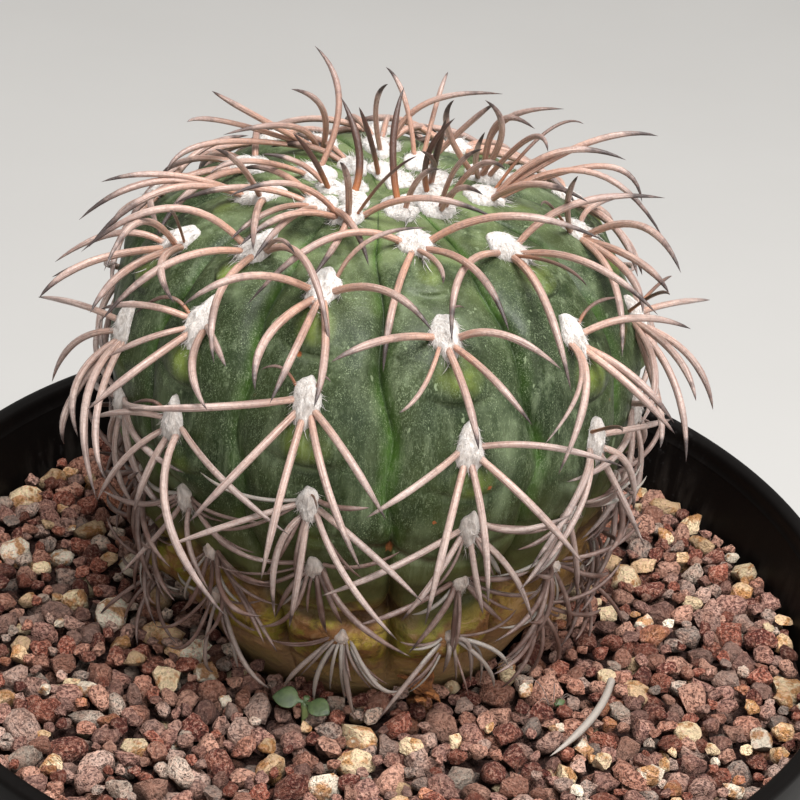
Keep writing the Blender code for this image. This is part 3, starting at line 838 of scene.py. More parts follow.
# The share of the way down the skin over which it withers, and how much deeper it creases there
OLD_SKIN = (0.66, 0.78)
OLD_CREASES = 1.8
STEM_ROWS = 168
RIB_COLUMNS = 30
COLUMNS_CROWD = 1.45
SKIN_GREEN = (0.039, 0.054, 0.017)
SKIN_DEEP = (0.014, 0.023, 0.006)
SKIN_FRESH = (0.165, 0.205, 0.084)
CHIN_YELLOW = (0.165, 0.210, 0.036)
GROOVE_GREEN = (0.050, 0.122, 0.012)
GROOVE_SHADE = (0.014, 0.024, 0.008)
SCURF = (0.240, 0.292, 0.170)
SKIN_BLOOM_AND_SHEEN = (0.148, 0.184, 0.102)
SKIN_SHADED = (0.012, 0.022, 0.006)
CREASE_PALE = (0.230, 0.290, 0.150)
CORK_OCHRE = (0.350, 0.245, 0.040)
CORK_OLIVE = (0.200, 0.185, 0.022)
CORK_BROWN = (0.185, 0.078, 0.030)
CORK_PAPER = (0.345, 0.210, 0.105)
CORK_CREASE_SHADE = (0.045, 0.021, 0.009)
CORK_SHADE = (0.062, 0.060, 0.018)
SCAR_ORANGE = (0.260, 0.080, 0.026)
# Small healed wounds of the skin, at a pixel of the photograph: across, down, reach
SCARS = ((388, 546, 0.0012), (490, 488, 0.0006), (434, 523, 0.0004), (299, 354, 0.0007))


def superellipse(share, power):
    return np.maximum(1.0 - np.asarray(share, float) ** power, 0.0) ** (1.0 / power)


def stem_outline():
    """Rows of (distance over the skin from the crown's centre, height, radius), down to the gravel."""
    fine = np.linspace(0.0, 1.0, 201)
    rise = np.sin(math.pi / 2 * (1 - fine)) ** (2 / CROWN_POWER)
    height = WIDEST_HEIGHT + CROWN_RISE * rise
    upper = np.column_stack([height, STEM_RADIUS * superellipse(rise, CROWN_POWER)])
    height = WIDEST_HEIGHT * (1 - fine[1:])
    drop = (WIDEST_HEIGHT - height) / FOOT_DROP
    lower = np.column_stack([height, STEM_RADIUS * superellipse(drop, FOOT_POWER)])
    rows = np.vstack([upper, lower])
    steps = np.hypot(*np.diff(rows, axis=0).T)
    return np.column_stack([np.concatenate([[0.0], np.cumsum(steps)]), rows])


STEM_OUTLINE = stem_outline()
SKIN_LENGTH = STEM_OUTLINE[-1, 0]


def outline_at(distance):
    """(height, radius) of a rib's crest at a distance over the skin from the crown's centre."""
    height = np.interp(distance, STEM_OUTLINE[:, 0], STEM_OUTLINE[:, 1])
    radius = np.interp(distance, STEM_OUTLINE[:, 0], STEM_OUTLINE[:, 2])
    return height - CROWN_DIMPLE * np.exp(-((distance / DIMPLE_REACH) ** 2)), radius


def rib_areoles(rib):
    """(distance, angle in degrees) of each areole down one rib: as seen, then by the rule."""
    places = []
    for distance, angle in SEEN_AREOLES.get(rib, ()):
        places.append((distance, angle % 360.0 if rib > RIBS // 2 else angle))
    angle = FIRST_RIB + rib * RIB_PITCH
    if rib == STRAY_RIB:
        angle += STRAY_RIB_TURN
    reached = places[-1][0] + AREOLE_GAP if places else 0.0
    for inner, outer in zip(AREOLE_BOUNDS, AREOLE_BOUNDS[1:]):
        distance = inner + (outer - inner) * RIB_STARTS[rib]
        if distance > reached and distance < SKIN_LENGTH - BARE_FOOT:
            places.append((distance, places[-1][1] if places else angle))
    return places


AREOLES = [rib_areoles(rib) for rib in range(RIBS)]


def crest_angle(rib, distance):
    """Angle of a rib's crest in degrees. It runs through its areoles."""
    places = AREOLES[rib % RIBS]
    angle = np.interp(distance, [place[0] for place in places], [place[1] for place in places])
    return angle + 360.0 * (rib // RIBS)


def groove_angle(rib, distance):
    """Angle of the groove after a rib, which wanders between the chins of its two neighbours."""
    middle = (crest_angle(rib, distance) + crest_angle(rib + 1, distance)) / 2
    sway = 0.0
    for side, neighbour in ((1.0, rib), (-1.0, rib + 1)):
        for place, _ in AREOLES[neighbour % RIBS]:
            near = np.exp(-(((distance - place - CHIN_DROP) / GROOVE_SWAY_REACH) ** 2))
            sway = sway + side * GROOVE_SWAY * near
    return middle + sway * np.clip(distance / GROOVE_FADE, 0.0, 1.0)


def stem_axis(height):
    """(x, y, z) of the leaning axis at a height above the gravel."""
    height = np.asarray(height, float)
    x = STEM_FOOT.x + STEM_LEAN.x * height
    y = STEM_FOOT.y + STEM_LEAN.y * height
    return np.stack([x, y, GRAVEL_LEVEL + height], -1)


def stem_source():
    """The smooth body that the ribs are pressed into, with what each point needs to know of them."""
    shares = np.linspace(-1.0, 1.0, RIB_COLUMNS, endpoint=False)
    shares = np.sign(shares) * (1 - (1 - np.abs(shares)) ** COLUMNS_CROWD)
    distance = np.linspace(0.0, SKIN_LENGTH, STEM_ROWS + 1)[1:]
    height, radius = outline_at(distance)
    angles, across, chins, creases, folds, grooves, rolls = [], [], [], [], [], [], []
    for rib in range(RIBS):
        crest = crest_angle(rib, distance)
        left, right = groove_angle(rib - 1, distance), groove_angle(rib, distance)
        for share in shares:
            edge = left if share < 0 else right
            angles.append(crest + abs(share) * (edge - crest))
            across.append(np.full_like(distance, abs(share)))
            chin, crease = 0.0, 0.0
            for place, _ in AREOLES[rib]:
                size = min(1.0, place / CHIN_GROWN_AT)
                chin = chin + size * np.exp(-(((distance - place - CHIN_DROP) / CHIN_REACH) ** 2))
                hollow = np.exp(-(((distance - place + CHIN_HOLLOW_LEAD) / CHIN_REACH) ** 2))
                chin = chin - CHIN_HOLLOW * size * hollow
                bent = distance - place + CREASE_LEAD + CREASE_BEND * share**2
                crease = crease + size * np.exp(-((bent / CREASE_REACH) ** 2))
            bulge = np.exp(-(((distance - ROLL_DISTANCE) / ROLL_REACH) ** 2))
            rolls.append(ROLL_RISE / CHIN_RISE * bulge * (1 - share**2))
            chins.append(chin * math.exp(-((share / CHIN_HALF_WIDTH) ** 2)))
            creases.append(crease * max(0.0, 1 - (share / CREASE_HALF_WIDTH) ** 2))
            turn = np.radians(angles[-1])
            fold = 0.0
            for number, (middle, reach, strength) in enumerate(FOLDS):
                wander = FOLD_WANDER[0] * np.sin(2 * turn + 2.1 * number)
                wander = wander + FOLD_WANDER[1] * np.sin(7 * turn + 1.3 * number)
                held = 0.55 + 0.9 * np.sin(5 * turn + 1.9 * number) + 0.4 * np.sin(11 * turn + number)
                bent = distance - middle - wander + FOLD_BEND * share**2
                fold = fold + strength * np.clip(held, 0.0, 1.0) * np.exp(-((bent / reach) ** 2))
            folds.append(fold)
            side = rib if share >= 0 else (rib - 1) % RIBS
            stray = GROOVE_STRAY * math.sin(2.7 * side + 0.6)
            grooves.append(np.interp(distance + stray, *zip(*GROOVE_SHARES)))
    angle = np.radians(np.array(angles).T)
    out = np.stack([np.sin(angle), -np.cos(angle), np.zeros_like(angle)], -1)
    rows = stem_axis(height)[:, None, :] + out * radius[:, None, None]
    fade = np.minimum(distance / GROOVE_FADE, 1.0) * np.minimum(height / (0.6 * GROOVE_FADE), 1.0)
    root_rows, around = [], len(angles)
    for depth, thick in ROOT_STEPS:
        root_rows.append(stem_axis(0.0) - (0.0, 0.0, depth) + out[-1] * thick)
    rows = np.concatenate([rows, np.array(root_rows)])
    rooted = len(ROOT_STEPS) * around
    top = stem_axis(outline_at(0.0)[0])
    tip = stem_axis(0.0) - (0.0, 0.0, ROOT_STEPS[-1][0] + ROOT_TIP)
    mesh = skin_mesh("stem", rows, (top, tip))
    values = {
        "across": np.array(across).T,
        "fade": np.repeat(fade[:, None], around, 1),
        "chin": np.array(chins).T,
        "crease": np.array(creases).T,
        "fold": np.array(folds).T,
        "groove": np.array(grooves).T,
        "roll": np.array(rolls).T,
        "down_skin": np.repeat(distance[:, None] / SKIN_LENGTH, around, 1),
    }
    for name, value in values.items():
        below = np.full(rooted, 1.0 if name == "down_skin" else 0.0)
        write_attribute(mesh, name, np.concatenate([value.ravel(), below, [0.0, below[0]]]))
    outward = np.broadcast_to(out, (STEM_ROWS, around, 3)).reshape(-1, 3)
    outward = np.concatenate([outward, np.zeros((rooted + 2, 3))])
    write_attribute(mesh, "outward", outward, "FLOAT_VECTOR")
    return mesh


def rib_tree():
    """Presses the grooves, chins, creases and folds into the smooth body."""
    inputs = {
        "Groove depth": ("Float", GROOVE_DEPTH),
        "Rib rounding": ("Float", RIB_ROUNDING),
        "Groove pinch": ("Float", GROOVE_PINCH),
        "Chin rise": ("Float", CHIN_RISE),
        "Crease depth": ("Float", CREASE_DEPTH),
        "Fold depth": ("Float", FOLD_DEPTH),
        "Unevenness": ("Float", SKIN_UNEVEN),
        "Foot lumps": ("Float", FOOT_LUMPS),
        "Material": ("Material", None),
    }
    tree, given = new_tree("ribbed_stem", inputs)
    across, fade = attribute(tree, "across"), attribute(tree, "fade")
    flat = times(tree, maths(tree, "POWER", across, 2.0), given["Rib rounding"])
    rest = minus(tree, minus(tree, 1.0, given["Rib rounding"]), given["Groove pinch"])
    steep = times(tree, maths(tree, "POWER", across, 6.0), rest)
    pinch = times(tree, maths(tree, "POWER", across, 18.0), given["Groove pinch"])
    sink = plus(tree, plus(tree, flat, steep), pinch)
    sink = times(tree, times(tree, sink, given["Groove depth"]), attribute(tree, "groove"))
    chin = plus(tree, attribute(tree, "chin"), attribute(tree, "roll"))
    chin = times(tree, chin, given["Chin rise"])
    feeds = {0: attribute(tree, "down_skin"), 1: OLD_SKIN[0], 2: OLD_SKIN[1]}
    low = node(tree, "ShaderNodeMapRange", feeds).outputs[0]
    withered = maths(tree, "MULTIPLY_ADD", low, OLD_CREASES, 1.0)
    crease = times(tree, times(tree, attribute(tree, "crease"), given["Crease depth"]), withered)
    crease = plus(tree, crease, times(tree, attribute(tree, "fold"), given["Fold depth"]))
    rise = minus(tree, minus(tree, chin, sink), crease)
    place = node(tree, "GeometryNodeInputPosition").outputs[0]
    uneven = mottle(tree, place, 55.0, 2.0, 0.5)
    uneven = times(tree, minus(tree, uneven, 0.5), given["Unevenness"])
    lumps = mottle(tree, place, 70.0, 2.0, 0.4)
    lumps = times(tree, minus(tree, lumps, 0.45), given["Foot lumps"])
    uneven = plus(tree, uneven, times(tree, lumps, low))
    rise = times(tree, plus(tree, rise, uneven), fade)
    move = scaled(tree, attribute(tree, "outward", "FLOAT_VECTOR"), rise)
    ribbed = node(tree, "GeometryNodeSetPosition", {0: given["Geometry"], "Offset": move}).outputs[0]
    end_tree(tree, ribbed, given["Material"])
    return tree


def let_light_in(shader, weight, colours, reach):
    """Lets some light pass under the surface, as flesh, felt and horn do."""
    shader.inputs["Subsurface Weight"].default_value = weight
    shader.inputs["Subsurface Radius"].default_value = colours
    shader.inputs["Subsurface Scale"].default_value = reach


def waxy_skin():
    material, tree, shader = finish("waxy_green_skin")
    place = object_place(tree)
    names = ("across", "chin", "crease", "fold", "groove", "down_skin")
    across, chins, crease, fold, depth, down = (stored(tree, name) for name in names)
    cloud = mottle(tree, place, 42.0, 4.0)
    colour = blended(tree, spread(tree, cloud, 0.35, 0.68), SKIN_DEEP, SKIN_GREEN)
    colour = blended(tree, spread(tree, down, 0.34, 0.06, 0.0, 0.90), colour, SKIN_FRESH)
    groove = times(tree, spread(tree, across, 0.82, 0.985), spread(tree, cloud, 0.42, 0.56, 0.10, 0.80))
    colour = blended(tree, groove, colour, GROOVE_GREEN)
    # Painted shade: a thin dark line down the bottom of each groove, darker where the groove is deeper.
    line = times(tree, spread(tree, across, 0.965, 1.0), spread(tree, depth, 0.55, 0.95, 0.05, 0.85))
    colour = blended(tree, line, colour, GROOVE_SHADE)
    pale = spread(tree, crease, 0.30, 0.90, 0.0, 0.34)
    colour = blended(tree, pale, colour, CREASE_PALE)
    # Pale waxy bloom in vertical streaks over the ribs, kept out of the grooves: partly the skin's own bloom,
    # partly a painted sheen on the ribs' faces.
    bloom_and_sheen = spread(tree, mottle(tree, object_place(tree, 0.24), 95.0, 5.0, 0.62), 0.50, 0.66, 0.0, 0.66)
    bloom_and_sheen = times(tree, bloom_and_sheen, spread(tree, across, 0.96, 0.78))
    colour = blended(tree, bloom_and_sheen, colour, SKIN_BLOOM_AND_SHEEN)
    shade = spread(tree, mottle(tree, object_place(tree, 0.5), 75.0, 4.0, 0.6), 0.56, 0.39, 0.0, 0.90)
    colour = blended(tree, shade, colour, SKIN_SHADED)
    chin = spread(tree, chins, 0.30, 1.0, 0.0, 0.78)
    chin = times(tree, chin, spread(tree, mottle(tree, place, 190.0, 3.0), 0.36, 0.54, 0.30, 1.0))
    colour = blended(tree, chin, colour, CHIN_YELLOW)
    streaks = mottle(tree, object_place(tree, 0.14), 420.0, 4.0, 0.70)
    patch = spread(tree, mottle(tree, place, 70.0, 3.0), 0.40, 0.62)
    streaks = times(tree, spread(tree, streaks, 0.50, 0.72), patch)
    colour = blended(tree, times(tree, streaks, 0.46), colour, SCURF)
    for scale, upright, share in ((2300.0, 0.20, 0.20), (3600.0, 0.32, 0.50), (6200.0, 0.50, 0.85)):
        dots = spread(tree, mottle(tree, object_place(tree, upright), scale, 1.0, 0.4), 0.57, 0.72)
        patch = spread(tree, mottle(tree, place, 150.0 + 0.02 * scale, 4.0, 0.70), 0.42, 0.70, 0.05, share)
        colour = blended(tree, times(tree, dots, patch), colour, SCURF)
    nicks = spread(tree, mottle(tree, object_place(tree, 0.30), 800.0, 2.0, 0.5), 0.700, 0.740, 0.0, 0.55)
    colour = blended(tree, nicks, colour, SCURF)
    scars = spread(tree, mottle(tree, place, 130.0, 2.0, 0.5, 0.6), 0.720, 0.760)
    scars = times(tree, scars, spread(tree, down, 0.40, 0.62))
    ragged = maths(tree, "MULTIPLY_ADD", mottle(tree, place, 900.0, 3.0, 0.7), 0.0016, -0.0008)
    for number, (_, _, reach) in enumerate(SCARS):
        away = node(tree, "ShaderNodeVectorMath", {0: place, 1: (0.0, 0.0, 1.0)}, operation="DISTANCE")
        away.name = f"scar_{number}"
        away = plus(tree, away.outputs["Value"], ragged)
        scars = larger(tree, scars, spread(tree, away, reach, reach * 0.6))
    colour = blended(tree, scars, colour, SCAR_ORANGE)
    corky = plus(tree, down, times(tree, minus(tree, cloud, 0.5), 0.20))
    sideways = node(tree, "ShaderNodeSeparateXYZ", {0: place}).outputs["X"]
    corky = plus(tree, corky, spread(tree, sideways, 0.014, 0.040, 0.0, 0.055))
    brown = spread(tree, mottle(tree, place, 85.0, 5.0, 0.62), 0.47, 0.56, 0.0, 0.95)
    brown = larger(tree, brown, spread(tree, sideways, 0.010, 0.032, 0.0, 0.80))
    cork = blended(tree, spread(tree, mottle(tree, place, 48.0, 3.0), 0.40, 0.58), CORK_OCHRE, CORK_OLIVE)
    cork = blended(tree, brown, cork, CORK_BROWN)
    wrinkles = mottle(tree, place, 260.0, 5.0, 0.68, 1.2)
    cork = blended(tree, spread(tree, wrinkles, 0.53, 0.64, 0.0, 0.60), cork, CORK_PAPER)
    # Painted shade in the cork's wrinkles, which the relief sinks.
    cork = blended(tree, spread(tree, wrinkles, 0.46, 0.36, 0.0, 0.60), cork, CORK_CREASE_SHADE)
    colour = blended(tree, spread(tree, corky, 0.610, 0.745, 0.0, 0.88), colour, CORK_SHADE)
    colour = blended(tree, spread(tree, corky, 0.765, 0.825, 0.0, 0.95), colour, cork)
    low = spread(tree, corky, 0.72, 0.79)
    # Painted shade at the foot: the skin is darkened along the creases, beside the grooves and in the folds.
    crease_shade = larger(tree, spread(tree, crease, 0.15, 0.75), spread(tree, across, 0.80, 1.0, 0.0, 0.7))
    colour = blended(tree, times(tree, times(tree, crease_shade, low), 0.80), colour, CORK_CREASE_SHADE)
    colour = blended(tree, spread(tree, fold, 0.35, 0.95, 0.0, 0.80), colour, CORK_CREASE_SHADE)
    colour = blended(tree, spread(tree, corky, 0.89, 0.96, 0.0, 0.75), colour, CORK_PAPER)
    tree.links.new(colour, shader.inputs["Base Color"])
    rough = spread(tree, mottle(tree, place, 220.0, 3.0), 0.35, 0.65, 0.42, 0.60)
    tree.links.new(rough, shader.inputs["Roughness"])
    shader.inputs["Specular IOR Level"].default_value = 0.20
    let_light_in(shader, 0.05, (0.6, 1.0, 0.3), 0.002)
    relief = plus(tree, mottle(tree, place, 480.0, 4.0, 0.6), times(tree, streaks, 0.4))
    creased = times(tree, wrinkles, spread(tree, corky, 0.72, 0.84, 0.0, 5.5))
    raise_bumps(tree, shader, plus(tree, relief, creased), 0.00024, 0.8)
    return material


def make_stem():
    skin = waxy_skin()
    mesh = grown_mesh("stem", stem_source(), rib_tree(), {"Material": skin})
    mesh.shade_smooth()
    return place_piece("stem", mesh, skin, "cactus", "cactus")


STEM = make_stem()
STEM_TREE = BVHTree.FromPolygons(
    [point.co.copy() for point in STEM.data.vertices], [list(face.vertices) for face in STEM.data.polygons]
)


def place_scars():
    """Sets each scar of the skin where its pixel of the photograph meets the stem."""
    nodes = bpy.data.materials["waxy_green_skin"].node_tree.nodes
    for number, (across, down, _) in enumerate(SCARS):
        place = STEM_TREE.ray_cast(EYE, picture_ray(across, down))[0]
        nodes[f"scar_{number}"].inputs[1].default_value = place


place_scars()

# Wool: a pad of fine white felt on every areole, grown from the skin. It is full and bright near the crown,
# and shrunken, stringy and grey on the oldest areoles. Loose hairs fray from its lower end.

WOOL_DISTANCES = (0.000, 0.008, 0.020, 0.040, 0.080, 0.100, 0.120)
WOOL_WIDTHS = (0.0044, 0.0060, 0.0068, 0.0054, 0.0044, 0.0029, 0.0024)
WOOL_LENGTHS = (0.0044, 0.0068, 0.0098, 0.0112, 0.0098, 0.0044, 0.0032)
WOOL_RISES = (0.0012, 0.0016, 0.0021, 0.0021, 0.0018, 0.0012, 0.0009)
WOOL_SOIL = (0.00, 0.00, 0.03, 0.10, 0.38, 0.90, 1.00)
WOOL_VARIES = (0.88, 1.12)
WOOL_SINK = 0.0010
WOOL_HANG = 0.09
WOOL_RINGS = (1.0, 0.97, 0.90, 0.79, 0.64, 0.47, 0.30, 0.14)
WOOL_AROUND = 28
WOOL_LUMPS = 0.00028
WOOL_HAIR_LENGTH = 0.0018
WOOL_HAIR_THICKNESS = 0.000050
WOOL_HAIRS_PER_AREA = 3.0e6
WOOL_SHAG = 4.5
WOOL_STRAY = 0.44
WOOL_WHITE = (0.66, 0.635, 0.61)
WOOL_CREAM = (0.70, 0.62, 0.54)
WOOL_GREY = (0.34, 0.235, 0.180)
WOOL_SHADOW = (0.36, 0.31, 0.27)
WOOL_SEED = 3
SKIN_STEP = 0.0006
SKIN_PROBE = 0.012


def areole_frame(distance, angle):
    """Where an areole sits on the finished skin: its place, and the ways out, sideways and down the rib."""
    turn = math.radians(angle)
    radial = Vector((math.sin(turn), -math.cos(turn), 0.0))
    side = Vector((math.cos(turn), math.sin(turn), 0.0))
    before, after = (outline_at(max(distance + step, 0.0)) for step in (-SKIN_STEP, SKIN_STEP))
    before = Vector(stem_axis(before[0])) + radial * float(before[1])
    after = Vector(stem_axis(after[0])) + radial * float(after[1])
    down = (after - before).normalized()
    side = (side - down * side.dot(down)).normalized()
    outward = down.cross(side)
    middle = (before + after) / 2
    place = STEM_TREE.ray_cast(middle + outward * SKIN_PROBE, -outward, 2 * SKIN_PROBE)[0]
    return place or middle, outward, side, down


def wool_pads(chance):
    """All the pads as one mesh. Each point knows which way its hairs lie, and how soiled they are."""
    points, faces, lies, soils, shags = [], [], [], [], []
    for row in AREOLES:
        for distance, angle in row:
            place, outward, side, down = areole_frame(distance, angle)
            width, length, rise, soil = (
                float(np.interp(distance, WOOL_DISTANCES, row_values))
                for row_values in (WOOL_WIDTHS, WOOL_LENGTHS, WOOL_RISES, WOOL_SOIL)
            )
            width *= chance.uniform(*WOOL_VARIES)
            length *= chance.uniform(*WOOL_VARIES)
            phases = [chance.uniform(0.0, 2 * math.pi) for _ in range(4)]
            start = len(points)
            place = place + down * (WOOL_HANG * length)
            for ring in WOOL_RINGS:
                for step in range(WOOL_AROUND):
                    turn = 2 * math.pi * step / WOOL_AROUND
                    lump = 1 + 0.08 * math.sin(3 * turn + phases[0]) + 0.06 * math.sin(5 * turn + phases[1])
                    lump += 0.07 * math.sin(9 * turn + phases[2]) * max(0.0, -math.cos(turn))
                    narrow = 1 - 0.14 * math.cos(turn) - 0.12 * math.cos(2 * turn)
                    across = side * (math.sin(turn) * ring * lump * narrow * width / 2)
                    along = down * (-math.cos(turn) * ring * lump * length / 2)
                    swell = math.sqrt(max(0.0, 1 - ring**2))
                    swell *= 1 + 0.16 * math.sin(2 * turn + phases[2] + 5 * ring)
                    lift = outward * (rise * swell - WOOL_SINK * (ring > 0.99))
                    spot = place + across + along
                    felted = noise.noise(spot * 900.0) + 0.5 * noise.noise(spot * 2300.0)
                    lift += outward * (WOOL_LUMPS * felted * min(1.0, 4 * (1 - ring)))
                    points.append(spot + lift)
                    away = (across + along).normalized()
                    lower = along.dot(down) > 0
                    lie = down * (1.0 if lower else 0.75) + away * 0.45 * ring
                    lies.append(lie.normalized())
                    soils.append(soil + 0.12 * lower * (1 - soil))
                    shags.append(max(0.0, along.dot(down) * 2 / length - 0.35) ** 2)
            points.append(place + outward * rise)
            lies.append(down)
            soils.append(soil)
            shags.append(0.0)
            for ring in range(len(WOOL_RINGS) - 1):
                for step in range(WOOL_AROUND):
                    a = start + ring * WOOL_AROUND + step
                    b = start + ring * WOOL_AROUND + (step + 1) % WOOL_AROUND
                    faces.append((a, a + WOOL_AROUND, b + WOOL_AROUND, b))
            last = start + (len(WOOL_RINGS) - 1) * WOOL_AROUND
            top = len(points) - 1
            faces += [(last + step, top, last + (step + 1) % WOOL_AROUND) for step in range(WOOL_AROUND)]
            faces.append(tuple(start + step for step in range(WOOL_AROUND)))
    mesh = bpy.data.meshes.new("wool_pads")
    mesh.from_pydata([tuple(point) for point in points], [], faces)
    write_attribute(mesh, "lie", [tuple(lie) for lie in lies], "FLOAT_VECTOR")
    write_attribute(mesh, "soil", soils)
    write_attribute(mesh, "shag", shags)
    turned = bmesh.new()
    turned.from_mesh(mesh)
    bmesh.ops.recalc_face_normals(turned, faces=turned.faces)
    turned.to_mesh(mesh)
    turned.free()
    mesh.shade_smooth()
    return mesh


def hair_shape(bend):
    """One tapered three-sided hair, a unit long."""
    thin = WOOL_HAIR_THICKNESS / WOOL_HAIR_LENGTH
    rows = []
    for share, thick in ((0.05, 1.0), (0.60, 0.75)):
        ring = []
        for step in range(3):
            turn = 2 * math.pi * step / 3
            across = bend * share**2 + math.sin(turn) * thin * thick
            ring.append((across, math.cos(turn) * thin * thick, share))
        rows.append(ring)
    return skin_mesh("wool_hair", rows, ((0.0, 0.0, 0.0), (bend, 0.0, 1.0)))


def wool_tree():
    """Grows short hairs all over the pads, lying the way that the pads say."""
    inputs = {
        "Hair": ("Collection", None),
        "Hairs per area": ("Float", WOOL_HAIRS_PER_AREA),
        "Length": ("Float", WOOL_HAIR_LENGTH),
        "Shag": ("Float", WOOL_SHAG),
        "Seed": ("Int", WOOL_SEED),
        "Material": ("Material", None),
    }
    tree, given = new_tree("fraying_wool", inputs)
    feeds = {0: given["Geometry"], "Density": given["Hairs per area"], "Seed": given["Seed"]}
    sown = node(tree, "GeometryNodeDistributePointsOnFaces", feeds)
    facing = scaled(tree, sown.outputs["Normal"], 0.10)
    lie = scaled(tree, attribute(tree, "lie", "FLOAT_VECTOR"), 0.90)
    stray = chance_vector(tree, (-WOOL_STRAY,) * 3, (WOOL_STRAY,) * 3, given["Seed"])
    way = moved(tree, moved(tree, facing, lie), stray)
    aim = node(tree, "FunctionNodeAlignRotationToVector", {2: way}, axis="Z").outputs[0]
    spin = chance_of(tree, 0.0, 2 * math.pi, plus(tree, given["Seed"], 1))
    spin = node(tree, "ShaderNodeCombineXYZ", {2: spin}).outputs[0]
    spin = node(tree, "FunctionNodeEulerToRotation", {0: spin}).outputs[0]
    aim = node(tree, "FunctionNodeRotateRotation", {0: aim, 1: spin}, rotation_space="LOCAL").outputs[0]
    long = chance_of(tree, 0.35, 1.15, plus(tree, given["Seed"], 2))
    shag = times(tree, attribute(tree, "shag"), given["Shag"])
    few = maths(tree, "POWER", chance_of(tree, 0.0, 1.0, plus(tree, given["Seed"], 3)), 2.0)
    shag = times(tree, shag, few)
    long = times(tree, long, plus(tree, shag, 1.0))
    long = times(tree, long, given["Length"])
    hairs = node(tree, "GeometryNodeCollectionInfo", {0: given["Hair"], 1: True, 2: True}).outputs[0]
    feeds = {0: sown.outputs["Points"], 2: hairs, 3: True, 5: aim, 6: long}
    grown = node(tree, "GeometryNodeInstanceOnPoints", feeds).outputs[0]
    end_tree(tree, grown, given["Material"])
    return tree


def white_wool():
    material, tree, shader = finish("white_wool")
    place = object_place(tree)
    soil = stored(tree, "soil")
    cloud = mottle(tree, place, 700.0, 3.0)
    colour = blended(tree, spread(tree, cloud, 0.50, 0.75, 0.0, 0.35), WOOL_WHITE, WOOL_CREAM)
    grey = times(tree, soil, spread(tree, mottle(tree, place, 380.0, 3.0), 0.30, 0.60, 0.55, 1.0))
    colour = blended(tree, grey, colour, WOOL_GREY)
    shader.inputs["Roughness"].default_value = 0.95
    shader.inputs["Specular IOR Level"].default_value = 0.15
    shader.inputs["Sheen Weight"].default_value = 0.25
    let_light_in(shader, 0.20, (1.0, 0.9, 0.8), 0.0008)
    fibres = mottle(tree, object_place(tree, 0.30), 1700.0, 3.0, 0.7)
    colour = blended(tree, spread(tree, fibres, 0.40, 0.60, 0.60, 0.0), colour, WOOL_SHADOW)
    tree.links.new(colour, shader.inputs["Base Color"])
    raise_bumps(tree, shader, fibres, 0.0006)
    return material


def half_mesh(name, mesh, front):
    """The faces of a mesh that lie in front of the stem's foot, or behind it."""
    half = bmesh.new()
    half.from_mesh(mesh)
    other = [face for face in half.faces if (face.calc_center_median().y < STEM_FOOT.y) != front]
    bmesh.ops.delete(half, geom=other, context="FACES")
    made = bpy.data.meshes.new(name)
    half.to_mesh(made)
    half.free()
    return made


def make_wool():
    chance = random.Random(WOOL_SEED)
    wool = white_wool()
    pads = wool_pads(chance)
    hairs = template_collection("wool_hair", [hair_shape(bend) for bend in (0.15, 0.30, 0.50)])
    tree = wool_tree()
    inputs = {"Hair": hairs, "Seed": WOOL_SEED, "Material": wool}
    for name, front, share in (("wool_hairs_front", True, 1.0), ("wool_hairs_back", False, 0.7)):
        source = half_mesh(name, pads, front)
        mesh = grown_mesh(name, source, tree, {**inputs, "Hairs per area": WOOL_HAIRS_PER_AREA * share})
        place_piece(name, mesh, wool, "cactus", "cactus")
    place_piece("wool_pads", pads, wool, "cactus", "cactus")
    clear_templates(hairs)


make_wool()

# Spines: stout, awl-shaped and hard, five to seven to an areole, pressed back over the ribs. They come dark
# from the crown, turn pinkish with a dark tip as they age, and end up grey and brittle near the gravel.

SPINE_SIDES = 8
SPINE_STEPS = 15
SPINE_DISTANCES = (0.004, 0.012, 0.025, 0.045, 0.070, 0.090, 0.110, 0.122)
SPINE_LENGTHS = (0.019, 0.025, 0.031, 0.032, 0.030, 0.024, 0.019, 0.016)
SPINE_RADII = (0.00058, 0.00066, 0.00074, 0.00077, 0.00074, 0.00062, 0.00050, 0.00044)
SPINE_STAND = (0.95, 0.72, 0.42, 0.30, 0.26, 0.26, 0.34, 0.40)
SPINE_SPREAD = 0.0022
SPINE_DROP = 0.0030
SPINE_DROP_SHARE = 0.36
SPINE_ROOT_OFF = 0.0020
SPINE_CLEARANCE = 0.0010
SPINE_OVER_GRAVEL = 0.0012
SPINE_ARCH = 0.17
SPINE_DEPTH_STEP = 0.00025
SPINE_DEPTH_STEPS = (-200, 161)
SPINE_TOO_LONG = 0.13
SPINE_TOO_SHORT = 0.45
SPINE_STAND_SLACK = 0.26
SPINE_NUDGE = 0.0006
SPINE_TURN_STRAY = 9.0
SPINE_SWAY = 0.22
SPINE_BEND = 1.05
SPINE_STANDS_OFF = 0.0042
SPINE_SEED = 29
# Rows of the photograph's pixels: a ruled spine doesn't stand out beside the stem above the first, and a
# spine that is drawn from the photograph is bleached where its tip lies below the second
HIDDEN_ABOVE = 380.0
BLEACHED_BELOW = 666.0
DRY_SPINES = 7
DRY_FROM = 0.080
DRY_TURNS = (70.0, 290.0)
DRY_LENGTHS = (0.40, 0.85)
DRY_STANDS = (0.10, 0.30)
DRY_THICKNESSES = (0.45, 0.80)
DRY_AGES = (1.0, 1.0, 0.85, 1.0, 1.5)

